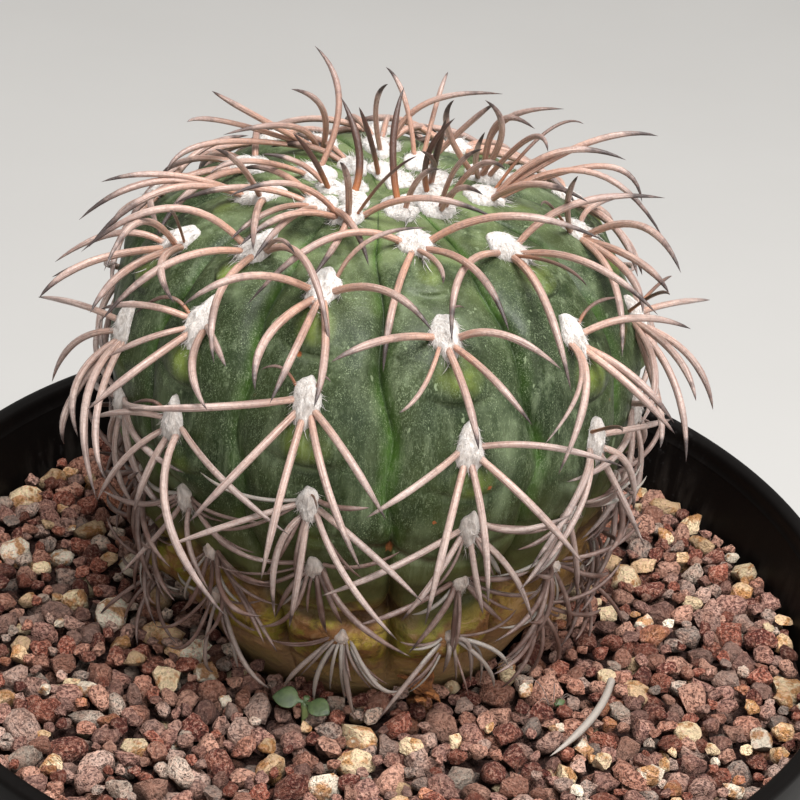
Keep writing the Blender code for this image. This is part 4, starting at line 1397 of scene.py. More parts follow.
# Spines read from the photograph, for each rib and areole down it: the pixel that the middle passes, the
# pixel of the tip, and the thickness beside its neighbours'
SEEN_SPINES = {
    (0, 1): (
        (288, 215, 239, 247, 1.0), (292, 184, 227, 197, 0.9),
        (338, 240, 312, 278, 1.0), (424, 198, 498, 220, 1.0),
        (386, 178, 417, 156, 0.5),
    ),
    (0, 2): (
        (248, 276, 182, 306, 1.0), (386, 291, 432, 331, 1.0),
        (268, 336, 255, 390, 1.1), (296, 348, 270, 403, 1.0),
        (325, 352, 314, 407, 1.0), (370, 240, 427, 228, 0.6),
    ),
    (0, 3): (
        (212, 407, 127, 408, 1.0), (241, 468, 188, 523, 1.0),
        (280, 498, 261, 580, 1.0), (328, 490, 361, 570, 1.0),
        (348, 457, 386, 520, 1.0), (282, 368, 260, 370, 0.4),
        (322, 377, 331, 382, 0.4),
    ),
    (0, 4): (
        (232, 524, 167, 546, 0.9), (277, 553, 275, 618, 1.0),
        (299, 572, 289, 628, 1.0), (346, 578, 398, 641, 1.0),
        (369, 552, 422, 602, 1.0), (315, 500, 317, 510, 0.3),
    ),
    (0, 5): (
        (290, 588, 275, 618, 0.9), (320, 600, 326, 631, 0.9),
        (352, 618, 411, 657, 1.1), (330, 600, 342, 624, 0.9),
        (290, 614, 258, 626, 0.8),
    ),
    (1, 2): (
        (330, 238, 248, 304, 1.0), (508, 216, 603, 240, 1.1),
        (394, 302, 383, 372, 1.0), (474, 269, 509, 331, 1.0),
        (438, 264, 443, 284, 0.7),
    ),
    (1, 3): (
        (384, 340, 331, 362, 1.0), (504, 335, 562, 370, 1.0),
        (423, 388, 399, 413, 0.6), (467, 398, 479, 450, 1.0),
        (491, 377, 532, 425, 0.9), (454, 308, 465, 308, 0.3),
    ),
    (1, 4): (
        (418, 485, 366, 518, 0.9), (550, 447, 624, 467, 0.9),
        (446, 538, 425, 625, 1.0), (484, 530, 488, 605, 1.0),
        (534, 508, 583, 564, 1.0),
    ),
    (1, 5): (
        (392, 568, 321, 596, 1.0), (520, 530, 573, 514, 0.9),
        (434, 580, 401, 621, 1.0), (476, 578, 483, 614, 1.0),
        (512, 573, 532, 621, 1.0),
    ),
    (1, 6): (
        (405, 609, 358, 625, 1.0), (442, 612, 408, 654, 1.1),
        (456, 612, 450, 660, 1.1), (500, 579, 530, 571, 1.0),
        (482, 602, 503, 622, 1.0),
    ),
    (2, 1): (
        (458, 189, 483, 195, 0.9), (456, 168, 483, 149, 0.8),
        (476, 167, 506, 170, 0.9),
    ),
    (2, 2): (
        (462, 272, 452, 343, 1.0), (575, 204, 665, 198, 1.0),
        (588, 263, 658, 315, 1.0), (557, 264, 587, 286, 0.5),
        (544, 299, 571, 391, 1.1),
    ),
    (2, 3): (
        (635, 318, 691, 329, 1.0), (594, 304, 624, 298, 0.5),
        (632, 376, 674, 423, 1.0), (631, 387, 675, 434, 1.0),
        (586, 390, 558, 475, 1.0), (580, 385, 544, 445, 0.6),
    ),
    (2, 4): (
        (640, 427, 672, 419, 0.9), (616, 427, 622, 432, 0.5),
        (628, 466, 633, 512, 1.0), (617, 488, 644, 545, 1.0),
        (578, 494, 528, 571, 1.0), (580, 508, 532, 580, 0.9),
    ),
    (2, 5): (
        (600, 503, 618, 489, 0.9), (548, 552, 520, 590, 1.0),
        (576, 560, 577, 592, 1.0),
    ),
    (3, 1): (
        (555, 153, 626, 160, 1.0), (585, 144, 658, 136, 1.0),
        (534, 184, 588, 202, 1.0), (590, 172, 664, 240, 0.9),
        (600, 166, 642, 202, 0.9), (545, 133, 584, 124, 0.5),
    ),
    (3, 2): (
        (568, 200, 578, 176, 0.8), (550, 205, 541, 206, 0.4),
        (590, 208, 622, 197, 0.8), (641, 226, 681, 273, 1.0),
        (636, 260, 669, 293, 1.0), (614, 283, 622, 357, 1.0),
        (627, 272, 643, 313, 1.0),
    ),
    (3, 3): (
        (674, 303, 710, 300, 0.9), (658, 285, 672, 276, 0.5),
        (656, 294, 670, 295, 0.5), (690, 357, 713, 410, 1.0),
        (676, 356, 696, 401, 1.0), (675, 385, 686, 462, 1.0),
        (655, 373, 640, 425, 1.0), (658, 400, 660, 448, 1.0),
    ),
    (9, 1): (
        (172, 175, 101, 182, 0.9), (158, 181, 79, 220, 1.0),
        (165, 190, 89, 247, 1.0), (256, 215, 253, 250, 1.0),
        (240, 165, 215, 149, 0.8),
    ),
    (9, 2): (
        (117, 233, 55, 262, 0.9), (110, 256, 52, 277, 0.9),
        (124, 272, 90, 313, 1.0), (90, 262, 39, 298, 1.0),
        (161, 265, 174, 303, 1.0), (140, 222, 104, 271, 0.9),
        (176, 218, 170, 211, 0.4),
    ),
    (9, 3): (
        (78, 304, 38, 297, 0.9), (76, 342, 52, 382, 0.9),
        (78, 380, 78, 437, 1.0), (72, 398, 64, 444, 1.0),
        (86, 402, 96, 498, 1.1), (97, 412, 104, 478, 1.0),
    ),
    (10, 2): (
        (172, 208, 81, 252, 1.0), (172, 262, 101, 321, 1.0),
        (218, 297, 214, 363, 1.0), (306, 262, 330, 351, 1.0),
        (280, 240, 295, 254, 0.6),
    ),
    (10, 3): (
        (144, 305, 101, 309, 0.9), (146, 339, 108, 357, 0.8),
        (138, 369, 87, 410, 1.0), (192, 368, 207, 410, 1.0),
        (214, 341, 226, 367, 0.9), (168, 297, 133, 316, 0.5),
    ),
    (10, 4): (
        (128, 412, 89, 419, 0.9), (127, 456, 97, 501, 0.9),
        (148, 471, 134, 512, 1.0), (168, 520, 228, 619, 1.1),
        (222, 479, 289, 535, 0.9), (152, 401, 130, 405, 0.5),
    ),
    (10, 5): (
        (142, 504, 102, 490, 0.9), (160, 532, 118, 576, 0.9),
        (189, 545, 210, 592, 0.9), (222, 541, 268, 563, 0.9),
    ),
    (10, 6): (
        (240, 575, 270, 583, 0.9), (212, 575, 206, 610, 0.9),
        (226, 600, 262, 616, 1.0), (196, 592, 180, 612, 0.9),
        (246, 606, 264, 643, 0.8), (254, 614, 277, 652, 0.8),
        (222, 606, 200, 641, 0.8),
    ),
    (0, 6): (
        (300, 667, 284, 686, 1.1), (319, 670, 314, 702, 1.1),
        (346, 678, 354, 717, 1.2), (376, 684, 400, 690, 1.0),
        (341, 666, 345, 700, 0.9), (322, 652, 300, 676, 0.7),
        (352, 662, 372, 690, 0.7), (333, 662, 330, 690, 0.8),
    ),
    (1, 7): (
        (412, 677, 378, 720, 1.1), (449, 653, 443, 673, 1.1),
        (469, 646, 470, 683, 1.1), (494, 650, 508, 668, 1.0),
        (485, 664, 494, 688, 1.0), (455, 655, 456, 681, 0.8),
        (424, 661, 414, 676, 0.8), (478, 650, 480, 684, 0.8),
    ),
    (10, 7): (
        (241, 657, 269, 688, 1.1), (192, 640, 168, 646, 0.9),
        (205, 652, 214, 672, 0.9), (232, 644, 238, 668, 0.8),
        (180, 622, 156, 626, 0.8),
    ),
}

# Young spines that stand on the crown: the pixels of the foot, the middle and the tip, then the thickness
# and how much of the length is still dark
CROWN_SPINES = (
    (354, 200, 359, 150, 341, 97, 1.3, 1.0), (345, 208, 348, 182, 340, 162, 1.0, 0.3),
    (334, 200, 313, 158, 293, 133, 0.9, 0.9), (393, 210, 393, 145, 404, 87, 1.1, 1.0),
    (388, 170, 370, 138, 359, 107, 0.9, 0.8), (432, 188, 437, 152, 446, 119, 1.1, 0.9),
    (421, 196, 428, 155, 455, 118, 1.0, 0.8), (446, 178, 434, 164, 421, 151, 0.8, 0.8),
    (327, 162, 339, 100, 315, 46, 1.0, 0.3), (348, 146, 322, 108, 291, 89, 0.9, 0.3),
    (280, 148, 252, 114, 212, 91, 0.9, 0.3), (276, 146, 228, 122, 187, 122, 0.8, 0.3),
    (348, 146, 290, 126, 223, 135, 0.9, 0.4), (310, 172, 250, 161, 209, 174, 0.9, 0.3),
    (276, 148, 212, 143, 166, 173, 0.9, 0.3), (460, 138, 498, 123, 535, 129, 0.9, 0.3),
    (454, 152, 500, 124, 564, 109, 0.9, 0.3), (375, 145, 425, 104, 503, 94, 0.9, 0.4),
    (420, 130, 405, 100, 386, 67, 0.8, 0.5), (430, 130, 437, 102, 448, 72, 0.8, 0.3),
    (368, 130, 376, 106, 388, 84, 0.8, 0.5), (454, 166, 448, 130, 454, 100, 0.9, 0.6),
    (508, 168, 502, 132, 485, 100, 0.9, 0.4), (444, 156, 466, 126, 494, 104, 0.9, 0.4),
    (472, 178, 476, 156, 485, 132, 0.8, 0.6), (502, 128, 530, 138, 548, 152, 0.8, 0.3),
)

# Where a spine leaves an areole that the photograph doesn't show: degrees round from the way up the rib,
# length and thickness beside the usual
RULED_SPINES = (
    (-62, 0.92, 0.9),
    (66, 0.96, 0.9),
    (-104, 1.04, 1.0),
    (108, 1.00, 1.0),
    (-148, 0.98, 1.0),
    (152, 1.02, 1.0),
    (181, 0.86, 0.9),
)
# How many of those an areole near the crown lacks: each row counts up to its distance
CROWN_LACKS = ((0.045, 2), (0.014, 3), (0.009, 2))
# A spine of the crown that is dark for more than this share of its length is a young one
YOUNG_DARK = 0.7
CROWN_REACH = 0.024
CROWN_STAND = 0.80
CROWN_AGE = 0.25
SPINE_SALMON = (0.490, 0.270, 0.184)
SPINE_FRESH = (0.400, 0.205, 0.135)
SPINE_PINK = (0.385, 0.240, 0.186)
SPINE_BEIGE = (0.345, 0.245, 0.208)
SPINE_MAUVE = (0.190, 0.130, 0.114)
SPINE_PALE = (0.355, 0.290, 0.264)
SPINE_DARK = (0.030, 0.019, 0.017)
SPINE_YOUNG = (0.050, 0.019, 0.011)
SPINE_ORANGE = (0.330, 0.110, 0.032)
SPINE_OLD = (0.098, 0.052, 0.040)
SPINE_BLEACHED = (0.270, 0.235, 0.205)
SPINE_STREAK_AND_HIGHLIGHT = (0.610, 0.480, 0.415)
SPINE_FURROW_AND_SHADE = (0.170, 0.095, 0.075)
SPINE_GRAIN = (0.180, 0.120, 0.104)
SPINE_BAND = (0.130, 0.088, 0.082)
SPINE_STOPS = (
    (0.0, SPINE_SALMON),
    (0.26, SPINE_PINK),
    (0.60, SPINE_BEIGE),
    (0.90, SPINE_MAUVE),
    (1.0, (0.200, 0.145, 0.135)),
)


def picture_point(place):
    """The pixel of the photograph at which a place shows."""
    from_eye = Vector(place) - EYE
    ahead = from_eye.dot(EYE_AHEAD)
    across = PICTURE_HALF + EYE_REACH * from_eye.dot(EYE_RIGHT) / ahead
    return Vector((across, PICTURE_HALF - EYE_REACH * from_eye.dot(EYE_UP) / ahead))


def clear_of_skin(place):
    """How far a place stands off the skin. It is negative inside the stem."""
    near, facing, _, gap = STEM_TREE.find_nearest(place)
    return gap if (place - near).dot(facing) > 0 else -gap


def usual(values, distance):
    return float(np.interp(distance, SPINE_DISTANCES, values))


def bent_line(root, middle, tip):
    """Points along a curve that passes through its middle point half way."""
    pull = middle * 2 - (root + tip) / 2
    line = []
    for step in range(SPINE_STEPS + 1):
        share = step / SPINE_STEPS
        line.append(root * (1 - share) ** 2 + pull * (2 * share * (1 - share)) + tip * share**2)
    return line


def seen_spine(frame_of_areole, distance, middle_pixel, tip_pixel, stand):
    """A spine that shows at its pixels, is about as long as its neighbours and clears the skin."""
    place, outward, side, down = frame_of_areole
    length = usual(SPINE_LENGTHS, distance)
    tip_ray, middle_ray = picture_ray(*tip_pixel), picture_ray(*middle_pixel)
    best = None
    for step in range(*SPINE_DEPTH_STEPS):
        depth = (place - EYE).length + step * SPINE_DEPTH_STEP
        tip = EYE + tip_ray * depth
        chord = tip - place
        reach = max(chord.length, 1e-6)
        slack = SPINE_TOO_LONG if reach > length else SPINE_TOO_SHORT
        cost = ((reach - length) / (slack * length)) ** 2
        cost += ((chord.dot(outward) / reach - stand) / SPINE_STAND_SLACK) ** 2
        if best is None or cost < best[0]:
            best = (cost, depth)
    depth = best[1]
    for _ in range(40):
        tip = EYE + tip_ray * depth
        way = (tip - place).normalized()
        drop = min(SPINE_DROP, SPINE_DROP_SHARE * float(np.interp(distance, WOOL_DISTANCES, WOOL_LENGTHS)))
        root = place + side * (SPINE_SPREAD * way.dot(side)) + down * (drop * way.dot(down))
        wanted = (root + tip) / 2 + outward * (SPINE_ARCH * (tip - root).length)
        middle = EYE + middle_ray * (wanted - EYE).dot(middle_ray)
        for _ in range(20):
            line = bent_line(root, middle, tip)
            if min(clear_of_skin(point) for point in line[4:-3]) > SPINE_CLEARANCE:
                break
            middle = middle - middle_ray * SPINE_NUDGE
        if min(clear_of_skin(point) for point in line[-4:]) > SPINE_CLEARANCE:
            break
        depth -= SPINE_NUDGE
    return line


def ruled_spine(frame_of_areole, turn, length, stand, chance):
    """A spine that leaves its areole at a turn from the way up the rib, and bends back over the stem."""
    place, outward, side, down = frame_of_areole
    angle = math.radians(turn + chance.uniform(-SPINE_TURN_STRAY, SPINE_TURN_STRAY))
    way = side * math.sin(angle) - down * math.cos(angle)
    root = place + way * SPINE_ROOT_OFF
    twist = side * math.cos(angle) + down * math.sin(angle)
    sway = chance.uniform(-SPINE_SWAY, SPINE_SWAY)
    for lift in np.arange(0.0, 1.0, 0.08):
        rise = math.asin(min(1.0, stand)) + 0.42 * min(1.0, stand / 0.26) + lift
        line = [root.copy()]
        for step in range(SPINE_STEPS):
            share = (step + 0.5) / SPINE_STEPS
            pitch = rise - SPINE_BEND * share
            heading = way * math.cos(pitch) + outward * math.sin(pitch) + twist * (sway * share)
            line.append(line[-1] + heading.normalized() * (length / SPINE_STEPS))
        low = min(point.z for point in line)
        free = min(clear_of_skin(point) for point in line[4:]) > SPINE_CLEARANCE
        if free and low > GRAVEL_LEVEL + SPINE_OVER_GRAVEL:
            break
    return line


def stands_out(line):
    """Whether a spine of the upper stem would show beside or above it, where the photograph has none."""
    shown = 0
    for point in line:
        ray = (point - EYE).normalized()
        beside = STEM_TREE.ray_cast(EYE, ray, 1.0)[0] is None
        shown += beside and picture_point(point).y < HIDDEN_ABOVE and clear_of_skin(point) > SPINE_STANDS_OFF
    return shown > 2


def collect_spines():
    """Every spine of the plant: rows of (line, thickness, dark share, age)."""
    chance = random.Random(SPINE_SEED)
    frames = {}
    for rib, row in enumerate(AREOLES):
        for number, place in enumerate(row):
            frames[rib, number] = areole_frame(*place)
    spines = []
    standing = {}
    for across, down_picture, middle_x, middle_y, tip_x, tip_y, thick, dark in CROWN_SPINES:
        foot = Vector((across, down_picture))
        home = min(
            (key for key in frames if AREOLES[key[0]][key[1]][0] < CROWN_REACH),
            key=lambda key: (picture_point(frames[key][0]) - foot).length,
        )
        distance = AREOLES[home[0]][home[1]][0]
        standing[home] = standing.get(home, 0) + 1
        line = seen_spine(frames[home], distance, (middle_x, middle_y), (tip_x, tip_y), CROWN_STAND)
        young = dark > YOUNG_DARK
        shown = dark if young else 0.45 * dark
        spines.append((line, usual(SPINE_RADII, distance) * thick, shown, 0.0 if young else CROWN_AGE))
    for key, frame_of_areole in frames.items():
        distance = AREOLES[key[0]][key[1]][0]
        for _ in range(DRY_SPINES if distance > DRY_FROM else 0):
            turn = chance.uniform(*DRY_TURNS)
            length = usual(SPINE_LENGTHS, distance) * chance.uniform(*DRY_LENGTHS)
            line = ruled_spine(frame_of_areole, turn, length, chance.uniform(*DRY_STANDS), chance)
            age = chance.choice(DRY_AGES)
            spines.append((line, usual(SPINE_RADII, distance) * chance.uniform(*DRY_THICKNESSES), 0.0, age))
    for key, frame_of_areole in frames.items():
        distance = AREOLES[key[0]][key[1]][0]
        radius = usual(SPINE_RADII, distance)
        age = float(np.interp(distance, (0.008, 0.030, 0.085, 0.100), (0.15, 0.40, 0.62, 1.0)))
        stand = usual(SPINE_STAND, distance)
        dark = float(np.interp(distance, (0.010, 0.030, 0.060), (0.30, 0.20, 0.11)))
        if key in SEEN_SPINES:
            for middle_x, middle_y, tip_x, tip_y, thick in SEEN_SPINES[key]:
                line = seen_spine(frame_of_areole, distance, (middle_x, middle_y), (tip_x, tip_y), stand)
                tinge = 0.06 if thick < 0.6 else chance.uniform(1.28, 1.48) if tip_y > BLEACHED_BELOW else age
                spines.append((line, radius * thick, dark * chance.uniform(0.8, 1.25), tinge))
            continue
        fewer = standing.get(key, 0) + sum(count for reach, count in CROWN_LACKS if distance < reach)
        for turn, long, thick in RULED_SPINES[fewer:]:
            length = usual(SPINE_LENGTHS, distance) * long * chance.uniform(0.90, 1.10)
            for _ in range(6):
                line = ruled_spine(frame_of_areole, turn, length, stand, chance)
                if not stands_out(line):
                    spines.append((line, radius * thick, dark * chance.uniform(0.8, 1.25), age))
                    break
                length *= 0.90
                stand *= 0.55
    return spines


def spine_lines(name, spines, chance):
    """The spines' centre lines as one mesh of edges, with what each point needs to know."""
    points, edges = [], []
    values = {"thickness": [], "along": [], "dark_share": [], "age": [], "own_tint": []}
    for line, radius, dark, age in spines:
        start = len(points)
        tint = chance.random()
        for number, point in enumerate(line):
            share = number / (len(line) - 1)
            taper = min(1.0, (1 - share) / 0.32) ** 0.62 * (1 - 0.04 * share) + 0.02
            swell = 0.88 + 0.12 * min(1.0, share / 0.25) + 0.12 * math.exp(-((share / 0.04) ** 2))
            points.append(tuple(point))
            values["thickness"].append(radius * taper * swell)
            values["along"].append(share)
            values["dark_share"].append(dark)
            values["age"].append(age)
            values["own_tint"].append(tint)
            if number:
                edges.append((start + number - 1, start + number))
    mesh = bpy.data.meshes.new(name)
    mesh.from_pydata(points, edges, [])
    for label, value in values.items():
        write_attribute(mesh, label, value)
    return mesh


def spine_tree():
    """Gives each centre line a round tapering body."""
    inputs = {"Sides": ("Int", SPINE_SIDES), "Thickness": ("Float", 1.0), "Material": ("Material", None)}
    tree, given = new_tree("tapered_spines", inputs)
    line = node(tree, "GeometryNodeMeshToCurve", {0: given["Geometry"]}).outputs[0]
    ring = node(tree, "GeometryNodeCurvePrimitiveCircle", {0: given["Sides"], 4: 1.0}).outputs[0]
    place = node(tree, "GeometryNodeInputPosition").outputs[0]
    feeds = {0: ring, "Name": "ring_place", "Value": place}
    ring = node(tree, "GeometryNodeStoreNamedAttribute", feeds, data_type="FLOAT_VECTOR").outputs[0]
    thick = times(tree, attribute(tree, "thickness"), given["Thickness"])
    body = node(tree, "GeometryNodeCurveToMesh", {0: line, 1: ring, 2: thick, 3: True}).outputs[0]
    end_tree(tree, body, given["Material"])
    return tree


def horny_spine():
    material, tree, shader = finish("horny_spine")
    names = ("along", "dark_share", "age", "own_tint")
    along, dark_share, age, tint = (stored(tree, name) for name in names)
    place = object_place(tree)
    ring = node(tree, "ShaderNodeAttribute", attribute_name="ring_place").outputs["Vector"]
    seat = {0: times(tree, tint, 40.0), 2: times(tree, along, 1.3)}
    lengthwise = node(tree, "ShaderNodeCombineXYZ", seat).outputs[0]
    streaks = mottle(tree, moved(tree, ring, lengthwise), 2.8, 3.0, 0.6)
    blotch = mottle(tree, place, 230.0, 3.0, 0.6)
    shifted = plus(tree, along, times(tree, minus(tree, blotch, 0.5), 0.60))
    body = ramp(tree, shifted, SPINE_STOPS)
    body = blended(tree, spread(tree, tint, 0.45, 1.0, 0.0, 0.42), body, SPINE_MAUVE)
    fresh = times(tree, spread(tree, age, 0.50, 0.24, 0.0, 0.60), spread(tree, along, 0.70, 0.30))
    body = blended(tree, fresh, body, SPINE_FRESH)
    body = blended(tree, spread(tree, age, 0.46, 0.60, 0.0, 0.66), body, SPINE_PALE)
    # Pale and dark streaks along the horn, on the ridges and furrows of its relief: partly the horn's own
    # striation, partly a painted highlight and painted shade.
    body = blended(tree, spread(tree, streaks, 0.54, 0.68, 0.0, 0.50), body, SPINE_STREAK_AND_HIGHLIGHT)
    body = blended(tree, spread(tree, streaks, 0.50, 0.34, 0.0, 0.72), body, SPINE_FURROW_AND_SHADE)
    grain = mottle(tree, place, 1600.0, 2.0, 0.6)
    body = blended(tree, spread(tree, grain, 0.50, 0.68, 0.0, 0.50), body, SPINE_GRAIN)
    seat = {0: times(tree, along, 13.0), 1: times(tree, tint, 60.0)}
    rings = node(tree, "ShaderNodeCombineXYZ", seat).outputs[0]
    rings = spread(tree, mottle(tree, rings, 1.0, 2.0), 0.60, 0.70, 0.0, 0.45)
    body = blended(tree, times(tree, rings, spread(tree, along, 0.30, 0.60)), body, SPINE_BAND)
    worn = times(tree, spread(tree, age, 0.54, 0.90), spread(tree, blotch, 0.25, 0.60, 0.50, 1.0))
    body = blended(tree, worn, body, SPINE_OLD)
    body = blended(tree, spread(tree, age, 1.20, 1.50), body, SPINE_BLEACHED)
    starts = minus(tree, 1.0, dark_share)
    tip = spread(tree, minus(tree, shifted, starts), -0.03, 0.12)
    tip = larger(tree, tip, spread(tree, along, 0.955, 0.985))
    young = blended(tree, spread(tree, along, 0.05, 0.34), SPINE_ORANGE, SPINE_YOUNG)
    dark = blended(tree, spread(tree, age, 0.05, 0.20), young, SPINE_DARK)
    dark = blended(tree, spread(tree, along, 0.75, 1.0), dark, SPINE_DARK)
    tip = larger(tree, tip, spread(tree, age, 0.12, 0.04))
    tip = times(tree, tip, spread(tree, age, 1.50, 1.20))
    colour = blended(tree, times(tree, tip, 0.94), body, dark)
    tree.links.new(colour, shader.inputs["Base Color"])
    tree.links.new(spread(tree, blotch, 0.3, 0.7, 0.36, 0.52), shader.inputs["Roughness"])
    let_light_in(shader, 0.10, (1.0, 0.5, 0.35), 0.001)
    raise_bumps(tree, shader, plus(tree, streaks, grain), 0.00016, 0.8)
    return material


SPINE_SKIN = horny_spine()
SPINE_TREE = spine_tree()


def make_spines():
    chance = random.Random(SPINE_SEED + 1)
    spines = collect_spines()
    halves = {
        "spines_front": [spine for spine in spines if spine[0][0].y < STEM_FOOT.y],
        "spines_back": [spine for spine in spines if spine[0][0].y >= STEM_FOOT.y],
    }
    for name, rows in halves.items():
        mesh = grown_mesh(name, spine_lines(name, rows, chance), SPINE_TREE, {"Material": SPINE_SKIN})
        mesh.shade_smooth()
        place_piece(name, mesh, SPINE_SKIN, "cactus", "cactus")


make_spines()

# Fallen spine: one dead spine, bowed, brittle and bleached grey. It has dropped from the plant and lies loose
# on the gravel.

FALLEN_ROOT = Vector((0.0514, -0.0123, GRAVEL_LEVEL + 0.0032))
FALLEN_TIP = Vector((0.0387, -0.0380, GRAVEL_LEVEL + 0.0026))
FALLEN_BOW = 0.0022
FALLEN_RADIUS = 0.00085
FALLEN_ARCH = 0.0008
FALLEN_AGE = 1.6


def make_fallen_spine():
    along = FALLEN_TIP - FALLEN_ROOT
    aside = Vector((-along.y, along.x, 0.0)).normalized() * FALLEN_BOW
    middle = (FALLEN_ROOT + FALLEN_TIP) / 2 + aside + Vector((0.0, 0.0, FALLEN_ARCH))
    row = (bent_line(FALLEN_ROOT, middle, FALLEN_TIP), FALLEN_RADIUS, 0.0, FALLEN_AGE)
    source = spine_lines("fallen_spine", [row], random.Random(SPINE_SEED))
    mesh = grown_mesh("fallen_spine_dry", source, SPINE_TREE, {"Material": SPINE_SKIN})
    mesh.shade_smooth()
    place_piece("fallen_spine_dry", mesh, SPINE_SKIN, "dry_spine", "fallen_spine")


make_fallen_spine()

# Weed seedling: a sprout that came up by itself, with two soft round seed leaves and a third that is still
# unfolding. Its short pale stalk is rooted between the stones.

SEEDLING_PLACE = Vector((-0.0110, -0.0313))
SEEDLING_HEIGHT = 0.0056
SEEDLING_STALK = 0.0008
SEEDLING_ROOT = 0.008
# Turn and size of each leaf, and how far it tilts up
SEED_LEAVES = ((173.0, 1.0, 18.0), (-31.0, 0.92, 18.0), (70.0, 0.30, 72.0))
SEED_LEAF_LENGTH = 0.0064
SEED_LEAF_STEM = 0.20
SEED_LEAF_WIDTH = 0.0044
SEED_LEAF_THICKNESS = 0.0005
SEED_LEAF_ROLL = 0.50
LEAF_GREEN = (0.022, 0.038, 0.012)
LEAF_PALE = (0.066, 0.096, 0.030)
STALK_GREEN = (0.200, 0.250, 0.095)


def seed_leaf(turn, size, tilt, crown):
    """One spoon-shaped leaf with a shallow fold down its middle, as rows that each go once round."""
    rows = []
    out = Vector((math.cos(math.radians(turn)), math.sin(math.radians(turn)), 0.0))
    side = Vector((-out.y, out.x, 0.0))
    for share in np.linspace(0.0, 1.0, 15):
        blade = min(max(0.0, share - SEED_LEAF_STEM) / (1 - SEED_LEAF_STEM), 0.999)
        full = math.sin(math.pi * blade**0.82) ** 0.62
        half = max(SEED_LEAF_WIDTH * size / 2 * full, SEEDLING_STALK * 0.45)
        rise = math.radians(tilt) * (1 - 0.9 * share)
        way = out * math.cos(rise) + Vector((0, 0, 1)) * math.sin(rise)
        middle = crown + way * (share * SEED_LEAF_LENGTH * size)
        ring = []
        for step in range(16):
            angle = 2 * math.pi * step / 16
            across = math.cos(angle) * half
            cup = 0.10 * abs(across) + 0.05 * half * math.cos(3 * across / SEED_LEAF_WIDTH * math.pi)
            cup += SEED_LEAF_ROLL * side.y * across
            lift = cup + math.sin(angle) * SEED_LEAF_THICKNESS / 2
            ring.append(middle + side * across + Vector((0, 0, lift)))
        rows.append([tuple(point) for point in ring])
    return skin_mesh("seed_leaf", rows, (tuple(crown), tuple(middle + out * 0.0002)))


def soft_leaf(name, stalk_top):
    material, tree, shader = finish(name)
    place = object_place(tree)
    height = node(tree, "ShaderNodeSeparateXYZ", {0: place}).outputs["Z"]
    cloud = mottle(tree, place, 420.0, 4.0)
    colour = blended(tree, spread(tree, cloud, 0.35, 0.70), LEAF_GREEN, LEAF_PALE)
    low = spread(tree, height, stalk_top, stalk_top - 0.0012)
    colour = blended(tree, low, colour, STALK_GREEN)
    feeds = {"Vector": place, "Scale": 260.0, "Distortion": 3.0}
    veins = node(tree, "ShaderNodeTexWave", feeds).outputs["Fac"]
    colour = blended(tree, spread(tree, veins, 0.80, 1.0, 0.0, 0.20), colour, LEAF_PALE)
    tree.links.new(colour, shader.inputs["Base Color"])
    shader.inputs["Roughness"].default_value = 0.55
    let_light_in(shader, 0.15, (0.5, 1.0, 0.4), 0.001)
    raise_bumps(tree, shader, cloud, 0.0002)
    return material


def joined(name, meshes):
    """Several meshes as one."""
    whole = bmesh.new()
    for mesh in meshes:
        whole.from_mesh(mesh)
    bmesh.ops.recalc_face_normals(whole, faces=whole.faces)
    made = bpy.data.meshes.new(name)
    whole.to_mesh(made)
    whole.free()
    made.shade_smooth()
    return made


def make_seedling():
    foot = Vector((*SEEDLING_PLACE, GRAVEL_LEVEL - SEEDLING_ROOT))
    crown = Vector((*SEEDLING_PLACE, GRAVEL_LEVEL + SEEDLING_HEIGHT - 0.0010))
    rows = []
    for share in np.linspace(0.0, 1.0, 12):
        middle = foot.lerp(crown, share) + Vector((0.0007 * math.sin(2.6 * share), 0.0, 0.0))
        thick = SEEDLING_STALK * (0.55 + 0.45 * share)
        turns = [2 * math.pi * step / 12 for step in range(12)]
        rows.append([tuple(middle + Vector((math.sin(a), -math.cos(a), 0.0)) * thick) for a in turns])
    top = Vector(rows[-1][0]).lerp(Vector(rows[-1][6]), 0.5)
    meshes = [skin_mesh("stalk", rows, (tuple(foot), tuple(top + Vector((0, 0, 0.0003)))))]
    meshes += [seed_leaf(turn, size, tilt, top) for turn, size, tilt in SEED_LEAVES]
    leaf = soft_leaf("soft_seed_leaf", GRAVEL_LEVEL + SEEDLING_HEIGHT - 0.0012)
    place_piece("weed_sprout", joined("weed_sprout", meshes), leaf, "seedling", "weed_seedling")


make_seedling()

# Litter: the papery brown remains of an old flower, which dropped at the stem's foot, and a tuft of wiry dead
# rootlets with one small leaf, which sticks up between the stones.

HUSK_PIXEL = (424, 692)
HUSK_HEIGHT = 0.0038
HUSK_PLACE = Vector((*on_gravel(*HUSK_PIXEL, HUSK_HEIGHT), GRAVEL_LEVEL + HUSK_HEIGHT))
HUSK_PETALS = 14
HUSK_LENGTH = 0.0062
HUSK_THICKNESS = 0.00044
HUSK_HALF_WIDTH = 0.0014
HUSK_BROWN = (0.105, 0.036, 0.012)
HUSK_PALE = (0.430, 0.165, 0.045)
ROOTLET_PLACE = Vector((0.0396, -0.0194, GRAVEL_LEVEL + 0.0010))
ROOTLETS = 6
ROOTLET_LENGTHS = (0.003, 0.006)
ROOTLET_RISES = (0.0005, 0.0045)
ROOTLET_ARCH = Vector((0, 0, 0.0016))
ROOTLET_RADIUS = 0.00010
ROOTLET_AGE = 1.3
LITTER_SEED = 13
LONE_LEAF_TURN = 40.0
LONE_LEAF_SIZE = 0.38
LONE_LEAF_TILT = 18.0
LONE_LEAF_SHIFT = Vector((0.0002, -0.0016, 0.0012))


